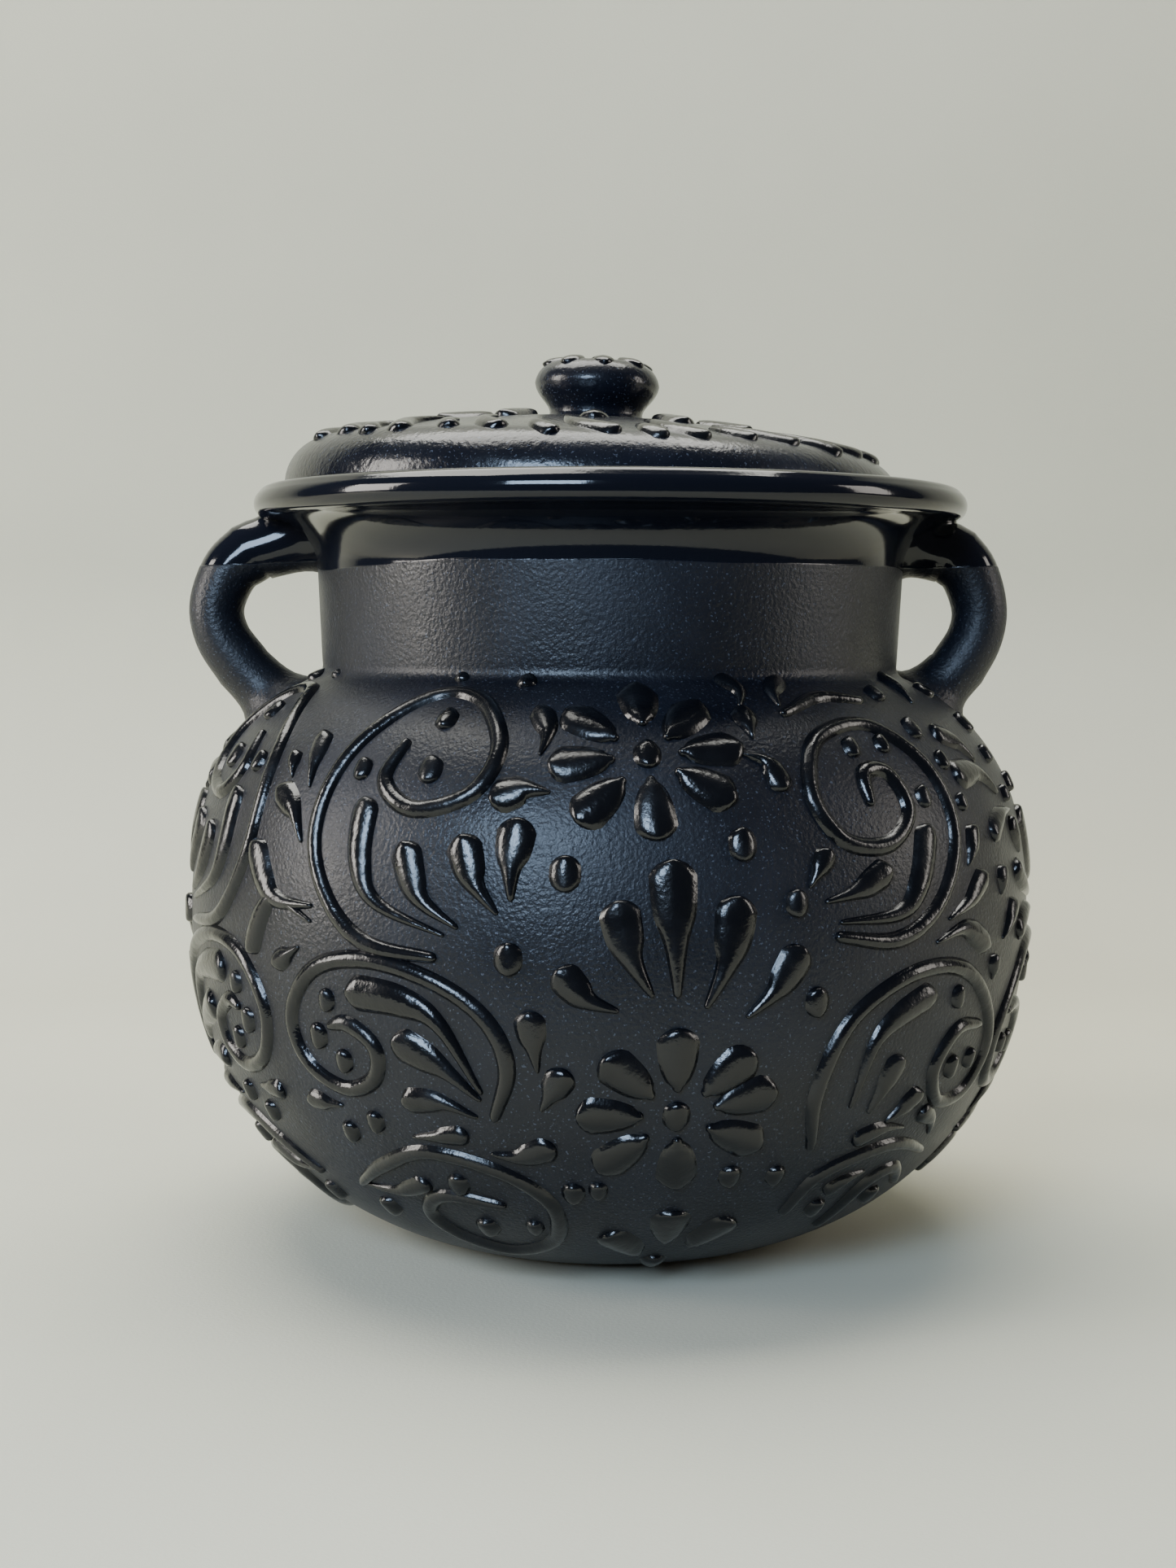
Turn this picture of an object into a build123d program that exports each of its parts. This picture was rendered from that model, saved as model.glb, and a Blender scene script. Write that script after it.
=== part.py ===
"""Lidded black clay pot: thrown belly and neck, two loop handles, a domed lid with a knob,
and raised strokes of trailed slip set out in four panels round the belly.

Millimetres. +Z is up, the origin is the centre of the foot, and the front faces -Y.
An azimuth is measured round the pot from the front, positive towards +X.
"""
from math import asin, cos, degrees, hypot, radians, sin, sqrt, tan
import os

from build123d import *

# ---------------------------------------------------------------- driving dimensions
BELLY_RADIUS = 125.0          # widest point of the belly
BELLY_HEIGHT = 98.5           # height of that widest point
BELLY_ARC = 131.0             # radius of the wall's middle arc
LOWER_ARC = 91.0              # radius of the arc that turns in to the foot
SHOULDER_ARC = 57.0           # radius of the arc that turns in to the neck
LOWER_TURN = -12.7            # direction in degrees where the lower arc takes over
SHOULDER_TURN = 11.9          # direction in degrees where the shoulder arc takes over
WALL = 6.0
FLOOR = 8.0

NECK_FOOT_RADIUS = 86.0
NECK_TOP_RADIUS = 87.5
NECK_WALL = 7.0
FLARE_ARC = 15.0
FLARE_HEIGHT = 198.0          # where the neck starts to open into the rim
RIM_RADIUS = 106.2
RIM_WIDEST = 217.4
RIM_CREST_RADIUS = 101.5
RIM_CREST = 222.1
SEAT_SLOPE = 32.0             # slope of the cone inside the rim that the lid sits in
SEAT_HEIGHT = 214.8           # height of that cone at the lid's radius
SEAT_TOP_RADIUS = 98.6
SEAT_FOOT_RADIUS = 86.0

LID_RADIUS = 92.0
LID_SHOULDER_ARC = 14.0
LID_DOME_ARC = 350.0
LID_RISE = 28.0               # from the lid's edge to the top of its dome
LID_WALL = 6.0
LID_SLIP = 5.5                # the lid rests this far towards -X in its seat
SEAT_GAP = 0.45               # left between the lid's edge and the seat

KNOB_RADIUS = 18.7
KNOB_STEM_RADIUS = 13.8
KNOB_HEIGHT = 18.0            # above the top of the lid's dome
KNOB_WIDEST = 10.5            # above the top of the lid's dome

HANDLE_DEPTH = 16.5           # thickness of the clay roll across the loop
HANDLE_BREADTH = 19.0         # thickness of the clay roll along the loop's axis
HANDLE_BEND = 19.0            # radius of the loop's bends, along the middle of the roll
LEFT_REACH = 119.0            # from the pot's axis to the middle of the roll
RIGHT_REACH = 111.5           # the right handle was made smaller
HANDLE_TOP = 205.5            # height of the roll's middle where it leaves the flare
HANDLE_TURN = 130.0           # how far the loop turns before it runs straight to the shoulder
HANDLE_LANDING = 30.0         # length of that straight run
HANDLE_FOOT_HEIGHT = 148.0    # strokes keep clear of the handles' feet above this height
HANDLE_FOOT_ANGLE = 9.5       # and within this many degrees

BELLY_RELIEF = 1.8            # height of the slip strokes above the clay
LID_RELIEF = 1.6
KNOB_RELIEF = 1.4
SCROLL_WIDTH = 3.8
TAIL_WIDTH = 1.8              # width of a stroke where the slip runs out
PETAL_WIDTH = 9.4
PETAL_ROOT_WIDTH = 5.0
PETAL_TIP = 2.0               # from the middle of a petal to the middle of its round tip
PETAL_ROOT = 4.0              # and to the middle of its narrow root
CUT_REACH = 22.0              # how far a stroke's outline is carried in and out of the wall

# ---------------------------------------------------------------- slip strokes on the belly
# Azimuth in degrees and height in millimetres. The front panel is drawn out in full: a column
# of flowers, a left and a right field of scrolls, and the two strips that divide it from its
# neighbours. The neighbours mirror it in the strips, and the back has a column of its own.
LEFT_STRIP = -45.3            # azimuths of the two strips, the mirrors of the pattern
RIGHT_STRIP = 61.5
BACK_TURN = 185.4

# The middle of a flower, then the middles of its petals.
FLOWERS = [
    (
        (5, 149),
        [(4.5, 161), (10.5, 157), (13.5, 150), (12, 141.5), (5.5, 136), (-1, 138), (-3.5, 147), (-2.5, 156)],
    ),
    (
        (8.5, 58),
        [(8.3, 72), (14.5, 69), (17, 62), (16.3, 52), (9.2, 45), (2, 48), (0.3, 58), (2.5, 68)],
    ),
    ((10, 8), [(10, 24), (3, 18), (17.5, 21)]),
]

# Head, tail and the width of the head.
COLUMN_DROPS = [
    (-9.5, 158, -9, 149, 5.5), (20, 158, 20, 154, 5), (22, 143, 18.5, 149, 5.5),
    (-12.5, 139, -8.5, 139.5, 6.5), (7.5, 115, 8, 91, 8.5), (1.5, 107.5, 4.5, 91, 7),
    (14.8, 107.5, 11.8, 88, 7.5), (-4.5, 93, 0.8, 86.5, 6), (22, 97, 16.5, 85, 7),
    (-9, 81, -8.3, 71, 6), (-5.8, 66.5, -7.5, 60, 6), (-8.5, 47.5, -14.5, 46, 6),
]
LEFT_DROPS = [
    (-31.5, 133, -31.2, 124, 5.5), (-24.5, 122, -18.5, 109, 6.5), (-17, 124, -13.5, 112, 7),
    (-11, 128, -11, 115, 8), (-31.5, 118, -27.5, 109, 7), (-30, 88, -23, 85.5, 7.5),
    (-24.5, 75, -18, 64, 6.5), (-24, 59, -19.5, 58, 5.5), (-19.5, 50.5, -25, 49.5, 5),
    (-28, 33.5, -34.5, 31.5, 4.5), (-41, 55.5, -37, 55.3, 4.5),
]
RIGHT_DROPS = [
    (20.5, 167, 20.2, 163, 4.5), (30, 166.6, 28.2, 164.6, 4), (42.8, 124.5, 40, 115, 7),
    (38.5, 109, 30, 107.5, 6), (34.5, 118, 28.5, 114.5, 5.5), (26.5, 122, 25, 118, 5),
    (41, 83, 35, 72, 7), (38.5, 65.5, 36.5, 57, 6), (43.5, 55.5, 40.5, 51, 5.5),
    (36.5, 46.8, 43.5, 47.2, 5), (49, 48, 52.5, 42.8, 5), (36, 31, 40, 34, 4.5),
    (53.5, 125, 52, 119, 6), (54, 112.5, 47.5, 105.5, 6.5), (54, 97, 45, 98.3, 6),
]
LEFT_LEAVES = [
    (-44, 149, -42.5, 140, 5.5), (-46.5, 135, -42, 125.5, 6), (-49, 118.5, -40, 109.5, 7.5),
    (-48.5, 99, -40, 103.5, 6),
]
RIGHT_LEAVES = [
    (57, 152, 62.5, 145, 6), (56, 141, 65, 136, 6.5), (61, 126, 69, 129.5, 6), (61, 113, 60.5, 108, 5),
    (64.5, 103, 61.5, 96.5, 5.5), (63, 167, 59.5, 162, 4.5), (58, 89.5, 58, 85, 4.5),
]

# Middle and width.
COLUMN_DOTS = [
    (16, 127, 6), (-5, 120, 6.5), (22.5, 112, 5.5), (25, 87, 6), (-11.5, 98.5, 6), (-14, 166.3, 5),
    (17, 39, 5.5), (24, 38.5, 5), (-5, 35, 5), (0, 36.5, 5),
]
LEFT_DOTS = [
    (-23.5, 144.5, 6), (-23.5, 157, 5), (-33.9, 144, 4.5), (-27, 168, 4), (-36, 84.5, 4.5),
    (-37.5, 74.5, 5), (-34.2, 67.5, 5), (-36.5, 47.5, 4.5), (-31.5, 51.5, 5), (-20, 21.5, 5.5),
    (-12, 22.5, 4.5), (-21.5, 37.5, 5), (-37.5, 24, 5.5),
]
RIGHT_DOTS = [
    (34.7, 150, 4.5), (45, 137, 4.5), (51.2, 154, 5), (53, 146, 4), (50.5, 163.5, 4.5), (47.7, 82.5, 5),
    (51.3, 63, 5), (55.5, 63.5, 4), (35.5, 24.5, 5.5), (48.5, 24.5, 5.5),
]

# The points that a trailed line runs through.
LEFT_SCROLLS = [
    [
        (-21.5, 98.5), (-30, 101), (-36, 111.5), (-39, 128), (-36.8, 150), (-28.5, 163),
        (-19.5, 161.5), (-14.8, 150.5), (-18.5, 137), (-25.5, 135), (-29.8, 143), (-28, 151),
    ],
    [
        (-14, 57), (-12, 70), (-14.5, 83), (-21, 91), (-30, 94.5), (-38, 91.5), (-42.3, 79),
        (-40.5, 65.5), (-34.5, 59.5), (-29.5, 66), (-30.3, 75.5), (-33.3, 77.5),
    ],
    [
        (-40, 36), (-33, 41.5), (-24.5, 44.6), (-14, 40), (-8, 30), (-9, 17.5), (-18, 12),
        (-26.5, 16), (-29.5, 24), (-24, 30), (-16.5, 29),
    ],
]
RIGHT_SCROLLS = [
    [
        (28.5, 102.5), (38, 101), (45, 110), (49, 127), (47.3, 146), (39, 156), (29.5, 152),
        (26.2, 138), (30.5, 126.5), (37.5, 127), (40.8, 136), (38, 144), (35, 140),
    ],
    [(28.5, 160.2), (35, 163.3), (44.5, 161.5)],
    [
        (28, 47), (27, 64), (31, 82), (40.5, 91), (50, 90), (56.5, 79), (59.3, 66), (56.3, 54),
        (50, 54), (46.8, 64), (50, 73), (55, 72.5),
    ],
    [(29.5, 28), (33, 38.5), (44, 42), (52.5, 37)],
    [(42, 18), (43.5, 30.5), (49, 33), (54, 27)],
]

# ---------------------------------------------------------------- slip strokes on the lid and knob
# Azimuth in degrees and distance from the lid's axis for head and tail, then the width of the head.
LID_SECTORS = 6
LID_COMMAS = [
    (3, 81, -5, 61, 7.5), (12, 82, 9.5, 75, 6.5), (21, 80, 15, 60, 7.5), (31, 79, 28, 69, 6.5),
    (41, 80, 34.5, 62, 7.5), (52, 82, 47.5, 71, 6.5),
]
LID_PETALS = 12
LID_PETAL = (0, 50, 0, 34, 8.5)
KNOB_PETALS = 8
KNOB_PETAL = (0, 13, 0, 8, 6.4)
KNOB_ROOT_WIDTH = 3.4

# ---------------------------------------------------------------- the belly's outline
BELLY_CENTRE = (BELLY_RADIUS - BELLY_ARC, BELLY_HEIGHT)


def tangent_centre(radius, turn):
    """Centre of an arc that takes over from the belly's middle arc in the direction turn."""
    reach = BELLY_ARC - radius
    return (
        BELLY_CENTRE[0] + reach * cos(radians(turn)),
        BELLY_CENTRE[1] + reach * sin(radians(turn)),
    )


LOWER_CENTRE = tangent_centre(LOWER_ARC, LOWER_TURN)
SHOULDER_CENTRE = tangent_centre(SHOULDER_ARC, SHOULDER_TURN)


def wall_arc(height):
    """Centre and radius of the wall arc that passes a height."""
    if height < LOWER_CENTRE[1] + LOWER_ARC * sin(radians(LOWER_TURN)):
        return LOWER_CENTRE, LOWER_ARC
    if height > SHOULDER_CENTRE[1] + SHOULDER_ARC * sin(radians(SHOULDER_TURN)):
        return SHOULDER_CENTRE, SHOULDER_ARC
    return BELLY_CENTRE, BELLY_ARC


def wall_point(azimuth, height):
    """Point on the outside of the belly."""
    centre, arc = wall_arc(height)
    radius = centre[0] + sqrt(arc**2 - (height - centre[1]) ** 2)
    return Vector(radius * sin(radians(azimuth)), -radius * cos(radians(azimuth)), height)


def wall_plane(azimuth, height):
    """Plane that touches the belly at a point: x runs round the pot, z points out."""
    origin = wall_point(azimuth, height)
    centre, _ = wall_arc(height)
    across = hypot(origin.X, origin.Y) - centre[0]
    turn = radians(azimuth)
    outward = (across * sin(turn), -across * cos(turn), height - centre[1])
    return Plane(origin=origin, x_dir=(cos(turn), sin(turn), 0), z_dir=outward)


def belly_arcs(grow, floor, top_radius):
    """Draw the belly's three arcs, all grown by one amount, from a floor height to a neck radius."""
    lower, middle, upper = LOWER_ARC + grow, BELLY_ARC + grow, SHOULDER_ARC + grow
    start = degrees(asin((floor - LOWER_CENTRE[1]) / lower))
    stop = 90 - degrees(asin((top_radius - SHOULDER_CENTRE[0]) / upper))
    bottom = CenterArc(LOWER_CENTRE, lower, start, LOWER_TURN - start)
    CenterArc(BELLY_CENTRE, middle, LOWER_TURN, SHOULDER_TURN - LOWER_TURN)
    top = CenterArc(SHOULDER_CENTRE, upper, SHOULDER_TURN, stop - SHOULDER_TURN)
    return bottom @ 0, top @ 1


def belly_solid(grow):
    """The belly below the neck as one solid, grown outwards by one amount."""
    with BuildPart() as solid:
        with BuildSketch(Plane.XZ):
            with BuildLine():
                foot, crease = belly_arcs(grow, 0, NECK_FOOT_RADIUS)
                Polyline(crease, (0, crease.Y), (0, 0), foot)
            make_face()
        revolve(axis=Axis.Z)
    return solid.part


# ---------------------------------------------------------------- vessel
NECK_INSIDE = NECK_TOP_RADIUS - NECK_WALL
SEAT_FALL = tan(radians(SEAT_SLOPE))
SEAT_TOP = SEAT_HEIGHT + (SEAT_TOP_RADIUS - LID_RADIUS) * SEAT_FALL
SEAT_FOOT = SEAT_HEIGHT + (SEAT_FOOT_RADIUS - LID_RADIUS) * SEAT_FALL
FLARE_CENTRE = (NECK_TOP_RADIUS + FLARE_ARC, FLARE_HEIGHT)

with BuildPart() as vessel:
    with BuildSketch(Plane.XZ):
        with BuildLine():
            outer_foot, outer_crease = belly_arcs(0, 0, NECK_FOOT_RADIUS)
            Line(outer_crease, (NECK_TOP_RADIUS, FLARE_HEIGHT))
            flare = CenterArc(FLARE_CENTRE, FLARE_ARC, 180, -90)
            under = Line(flare @ 1, (RIM_RADIUS - 2.2, FLARE_HEIGHT + FLARE_ARC + 0.5))
            bead = ThreePointArc(under @ 1, (RIM_RADIUS, RIM_WIDEST), (RIM_RADIUS - 1.8, RIM_CREST - 1.4))
            crest = ThreePointArc(bead @ 1, (RIM_CREST_RADIUS, RIM_CREST), (SEAT_TOP_RADIUS, SEAT_TOP + 1.2))
            seat = Polyline(crest @ 1, (SEAT_TOP_RADIUS, SEAT_TOP), (SEAT_FOOT_RADIUS, SEAT_FOOT))
            inner_floor, inner_crease = belly_arcs(-WALL, FLOOR, NECK_INSIDE)
            Polyline(seat @ 1, (NECK_INSIDE, FLARE_HEIGHT + 3), inner_crease)
            Polyline(inner_floor, (0, FLOOR), (0, 0), outer_foot)
        make_face()
    revolve(axis=Axis.Z)
    corners = vessel.edges().filter_by(GeomType.CIRCLE)
    neck_crease = corners.filter_by(lambda edge: abs(edge.radius - NECK_FOOT_RADIUS) < 0.01)
    fillet(neck_crease, radius=2.5)
vessel.part.label = "vessel"

with BuildPart() as vessel_bulk:
    with BuildSketch(Plane.XZ):
        with BuildLine():
            bulk_foot, bulk_crease = belly_arcs(0, 0, NECK_FOOT_RADIUS)
            Line(bulk_crease, (NECK_TOP_RADIUS, FLARE_HEIGHT))
            bulk_flare = CenterArc(FLARE_CENTRE, FLARE_ARC, 180, -90)
            bulk_under = Line(bulk_flare @ 1, (RIM_RADIUS - 2.2, FLARE_HEIGHT + FLARE_ARC + 0.5))
            bulk_bead = ThreePointArc(
                bulk_under @ 1, (RIM_RADIUS, RIM_WIDEST), (RIM_RADIUS - 1.8, RIM_CREST - 1.4)
            )
            Polyline(bulk_bead @ 1, (0, RIM_CREST - 1.4), (0, 0), bulk_foot)
        make_face()
    revolve(axis=Axis.Z)

# ---------------------------------------------------------------- handles
def handle(side, reach):
    """One loop of rolled clay from under the rim to the shoulder; side is -1 or 1."""
    with BuildPart() as loop:
        with BuildLine(Plane.XZ):
            root = Line(
                (side * (NECK_INSIDE + 4), HANDLE_TOP),
                (side * (reach - HANDLE_BEND), HANDLE_TOP),
            )
            bend = JernArc(root @ 1, root % 1, HANDLE_BEND, -side * HANDLE_TURN)
            Line(bend @ 1, (bend @ 1) + (bend % 1) * HANDLE_LANDING)
        with BuildSketch(Plane(origin=root @ 0, x_dir=(0, 1, 0), z_dir=root % 0)):
            Ellipse(HANDLE_BREADTH / 2, HANDLE_DEPTH / 2)
        sweep()
        add(vessel_bulk.part, mode=Mode.SUBTRACT)
    return loop.part


left_handle = handle(-1, LEFT_REACH)
left_handle.label = "left_handle"
right_handle = handle(1, RIGHT_REACH)
right_handle.label = "right_handle"


# ---------------------------------------------------------------- slip strokes
def stroke_face(plane, head, head_width, tail, tail_width):
    """One tapering stroke on a plane, drawn as the outline round two circles, from 3-D points."""
    first = plane.to_local_coords(head)
    last = plane.to_local_coords(tail)
    run = Vector(last.X - first.X, last.Y - first.Y)
    start, stop = Vector(first.X, first.Y), Vector(last.X, last.Y)
    along = run.normalized()
    across = Vector(-along.Y, along.X)
    lean = (head_width - tail_width) / 2 / run.length
    side = sqrt(1 - lean**2)
    left, right = along * lean + across * side, along * lean - across * side
    with BuildSketch(plane) as stroke:
        with BuildLine():
            front = ThreePointArc(
                start + left * head_width / 2, start - along * head_width / 2, start + right * head_width / 2
            )
            back = ThreePointArc(
                stop + right * tail_width / 2, stop + along * tail_width / 2, stop + left * tail_width / 2
            )
            Line(front @ 1, back @ 0)
            Line(back @ 1, front @ 0)
        make_face()
    return stroke.sketch


def panel_azimuth(panel, azimuth):
    """Where a stroke of the front panel comes on another panel."""
    if panel == "left":
        return 2 * LEFT_STRIP - azimuth
    if panel == "right":
        return 2 * RIGHT_STRIP - azimuth
    if panel == "back":
        return BACK_TURN + azimuth
    return azimuth


def clear_of_handles(azimuth, height):
    """Whether a stroke stands clear of the places where the handles land."""
    return height < HANDLE_FOOT_HEIGHT or abs(abs(azimuth) - 90) > HANDLE_FOOT_ANGLE


def petal_faces(panel):
    """The petals of a panel's flowers, each a stout stroke that narrows towards the middle."""
    for middle, petals in FLOWERS:
        core = wall_point(panel_azimuth(panel, middle[0]), middle[1])
        for azimuth, height in petals:
            turn = panel_azimuth(panel, azimuth)
            if not clear_of_handles(turn, height):
                continue
            plane = wall_plane(turn, height)
            inward = plane.to_local_coords(core)
            inward = Vector(inward.X, inward.Y).normalized()
            tip = plane.from_local_coords(inward * -PETAL_TIP)
            root = plane.from_local_coords(inward * PETAL_ROOT)
            yield stroke_face(plane, tip, PETAL_WIDTH, root, PETAL_ROOT_WIDTH)


def drop_faces(panel, drops):
    """Tapering strokes: a round head that runs out in a thin tail."""
    for head_azimuth, head_height, tail_azimuth, tail_height, width in drops:
        turn = panel_azimuth(panel, head_azimuth)
        if clear_of_handles(turn, head_height):
            head = wall_point(turn, head_height)
            tail = wall_point(panel_azimuth(panel, tail_azimuth), tail_height)
            yield stroke_face(wall_plane(turn, head_height), head, width, tail, TAIL_WIDTH)


def dot_faces(panel, dots):
    """Round dots of slip."""
    for azimuth, height, width in dots:
        turn = panel_azimuth(panel, azimuth)
        if clear_of_handles(turn, height):
            with BuildSketch(wall_plane(turn, height)) as dot:
                Circle(width / 2)
            yield dot.sketch


def scroll_faces(panel, scrolls):
    """Trailed lines of even width with round ends."""
    for points in scrolls:
        line = [wall_point(panel_azimuth(panel, azimuth), height) for azimuth, height in points]
        middle = line[len(line) // 2]
        azimuth = panel_azimuth(panel, points[len(line) // 2][0])
        plane = wall_plane(azimuth, middle.Z)
        flat = [plane.to_local_coords(point) for point in line]
        with BuildSketch(plane) as scroll:
            with BuildLine():
                Spline(*[(point.X, point.Y) for point in flat])
            trace(line_width=SCROLL_WIDTH)
            with Locations((flat[0].X, flat[0].Y), (flat[-1].X, flat[-1].Y)):
                Circle(SCROLL_WIDTH / 2)
        yield scroll.sketch


def raised(label, faces, coat):
    """A group of strokes: outlines carried through the thin coat of slip over the clay."""
    with BuildPart() as group:
        for face in faces:
            extrude(face, amount=CUT_REACH, both=True)
        add(coat, mode=Mode.INTERSECT)
    group.part.label = label
    return group.part


belly_coat = belly_solid(BELLY_RELIEF) - belly_solid(0) - vessel.part - left_handle - right_handle
belly_groups = []
for panel in ("front", "left", "right", "back"):
    drops, dots = list(COLUMN_DROPS), list(COLUMN_DOTS)
    scrolls = []
    if panel != "back":
        drops += LEFT_DROPS + RIGHT_DROPS
        dots += LEFT_DOTS + RIGHT_DOTS
        scrolls = LEFT_SCROLLS + RIGHT_SCROLLS
    if panel == "front":
        drops += LEFT_LEAVES + RIGHT_LEAVES
    strokes = [
        *petal_faces(panel),
        *drop_faces(panel, drops),
        *dot_faces(panel, dots),
        *scroll_faces(panel, scrolls),
    ]
    belly_groups.append(raised(panel + "_slip", strokes, belly_coat))

# ---------------------------------------------------------------- lid
LID_TILT = asin(SEAT_FALL * LID_SLIP / LID_RADIUS)     # the seat's slope tips the lid as it slips
LID_FRAME = Plane(
    origin=(-LID_SLIP, 0, SEAT_HEIGHT + SEAT_GAP),
    x_dir=(cos(LID_TILT), 0, -sin(LID_TILT)),
    z_dir=(sin(LID_TILT), 0, cos(LID_TILT)),
)
LID_SECTION = Plane(origin=LID_FRAME.origin, x_dir=LID_FRAME.x_dir, z_dir=-LID_FRAME.y_dir)
LID_AXIS = Axis(LID_FRAME.origin, LID_FRAME.z_dir)
DOME_CENTRE = (0, LID_RISE - LID_DOME_ARC)
EDGE_CENTRE_RADIUS = LID_RADIUS - LID_SHOULDER_ARC
EDGE_CENTRE = (
    EDGE_CENTRE_RADIUS,
    DOME_CENTRE[1] + sqrt((LID_DOME_ARC - LID_SHOULDER_ARC) ** 2 - EDGE_CENTRE_RADIUS**2),
)
EDGE_TURN = 90 - degrees(asin(EDGE_CENTRE_RADIUS / (LID_DOME_ARC - LID_SHOULDER_ARC)))


def lid_arcs(grow):
    """Draw the lid's upper outline, from its edge to the top of the dome, grown by one amount."""
    shoulder = CenterArc(EDGE_CENTRE, LID_SHOULDER_ARC + grow, 0, EDGE_TURN)
    dome = CenterArc(DOME_CENTRE, LID_DOME_ARC + grow, EDGE_TURN, 90 - EDGE_TURN)
    return shoulder @ 0, dome @ 1


def lid_solid(grow):
    """The lid without its hollow, grown outwards by one amount."""
    with BuildPart() as solid:
        with BuildSketch(LID_SECTION):
            with BuildLine():
                edge, top = lid_arcs(grow)
                Polyline(top, (0, 0), (edge.X, 0), edge)
            make_face()
        revolve(axis=LID_AXIS)
    return solid.part


with BuildPart() as lid:
    with BuildSketch(LID_SECTION):
        with BuildLine():
            outer_edge, outer_top = lid_arcs(0)
            inner_edge, inner_top = lid_arcs(-LID_WALL)
            Polyline(outer_edge, (outer_edge.X, 0), (inner_edge.X, 0), inner_edge)
            Line(inner_top, outer_top)
        make_face()
    revolve(axis=LID_AXIS)
lid.part.label = "lid"


def knob_outline(grow):
    """Draw the knob's outline from the dome to the top, grown by one amount above the stem."""
    stem = Spline(
        (KNOB_STEM_RADIUS + 2, LID_RISE - 2),
        (KNOB_STEM_RADIUS, LID_RISE + 1),
        (KNOB_STEM_RADIUS + 1.6, LID_RISE + 4.5),
        (KNOB_RADIUS + grow, LID_RISE + KNOB_WIDEST),
        tangents=[(-0.6, 1), (0, 1)],
    )
    brow = ThreePointArc(
        stem @ 1,
        (KNOB_RADIUS - 1.7 + grow * 0.7, LID_RISE + KNOB_WIDEST + 4 + grow * 0.7),
        (KNOB_RADIUS - 6, LID_RISE + KNOB_HEIGHT - 1 + grow),
    )
    crown = Line(brow @ 1, (0, LID_RISE + KNOB_HEIGHT + grow))
    Polyline(crown @ 1, (0, LID_RISE - 2), stem @ 0)


def knob_solid(grow):
    """The knob down into the dome, grown by one amount above the stem."""
    with BuildPart() as solid:
        with BuildSketch(LID_SECTION):
            with BuildLine():
                knob_outline(grow)
            make_face()
        revolve(axis=LID_AXIS)
    return solid.part


lid_bulk = lid_solid(0)
with BuildPart() as lid_knob:
    add(knob_solid(0))
    add(lid_bulk, mode=Mode.SUBTRACT)
lid_knob.part.label = "lid_knob"


def lid_point(azimuth, radius):
    """Point over the lid at an azimuth and a distance from the lid's axis."""
    turn = radians(azimuth)
    return LID_FRAME.from_local_coords((radius * sin(turn), -radius * cos(turn), LID_RISE))


def ring_faces(strokes, repeats, tail_width):
    """Strokes seen along the lid's axis, repeated evenly round it."""
    plane = Plane(origin=LID_FRAME.from_local_coords((0, 0, LID_RISE)), x_dir=LID_FRAME.x_dir, z_dir=LID_FRAME.z_dir)
    for sector in range(repeats):
        turn = 360 / repeats * sector
        for head_azimuth, head_radius, tail_azimuth, tail_radius, width in strokes:
            head = lid_point(turn + head_azimuth, head_radius)
            tail = lid_point(turn + tail_azimuth, tail_radius)
            yield stroke_face(plane, head, width, tail, tail_width)


lid_coat = lid_solid(LID_RELIEF) - lid_bulk
knob_coat = knob_solid(KNOB_RELIEF) - knob_solid(0) - lid_bulk
lid_strokes = [
    *ring_faces(LID_COMMAS, LID_SECTORS, TAIL_WIDTH),
    *ring_faces([LID_PETAL], LID_PETALS, PETAL_ROOT_WIDTH),
]
lid_groups = [
    raised("lid_slip", lid_strokes, lid_coat),
    raised("knob_petals", ring_faces([KNOB_PETAL], KNOB_PETALS, KNOB_ROOT_WIDTH), knob_coat),
]

# ---------------------------------------------------------------- hand over
os.makedirs("parts", exist_ok=True)
for piece in [vessel.part, left_handle, right_handle, lid.part, lid_knob.part, *belly_groups, *lid_groups]:
    export_step(piece, "parts/" + piece.label + ".step")
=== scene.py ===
"""A lidded black clay pot: wheel-thrown wall and lid, rolled loop handles, trailed slip ornament.

Every piece is built in the frame's own metres, +Z up, with the front of the pot facing -Y.
An azimuth is measured round the pot from the front, positive towards +X. Sizes inside the
classes are in millimetres and degrees, as the potter would give them.
"""
import logging
import math
from dataclasses import dataclass, field
from enum import Enum
from typing import Callable, Iterable, Sequence

import bpy
from mathutils import Matrix, Vector, noise
from mathutils.bvhtree import BVHTree


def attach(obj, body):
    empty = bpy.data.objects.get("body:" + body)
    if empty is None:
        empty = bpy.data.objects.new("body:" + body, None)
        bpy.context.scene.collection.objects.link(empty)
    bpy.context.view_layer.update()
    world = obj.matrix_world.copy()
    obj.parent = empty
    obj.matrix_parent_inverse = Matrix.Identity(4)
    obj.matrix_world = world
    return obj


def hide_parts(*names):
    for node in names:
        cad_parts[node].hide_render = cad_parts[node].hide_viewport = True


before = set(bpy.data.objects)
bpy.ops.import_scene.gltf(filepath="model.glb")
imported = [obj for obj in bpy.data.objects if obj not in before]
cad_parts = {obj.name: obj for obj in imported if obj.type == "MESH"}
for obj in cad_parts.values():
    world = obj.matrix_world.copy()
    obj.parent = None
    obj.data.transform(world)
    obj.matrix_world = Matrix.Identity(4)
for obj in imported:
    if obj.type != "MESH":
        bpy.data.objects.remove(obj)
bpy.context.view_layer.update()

MM = 0.001
LOG = logging.getLogger("clay_pot")

Place = tuple[float, float]
Outline = list[Place]
Stroke = Sequence[tuple[float, float, float]]
Socket = bpy.types.NodeSocket


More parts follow.
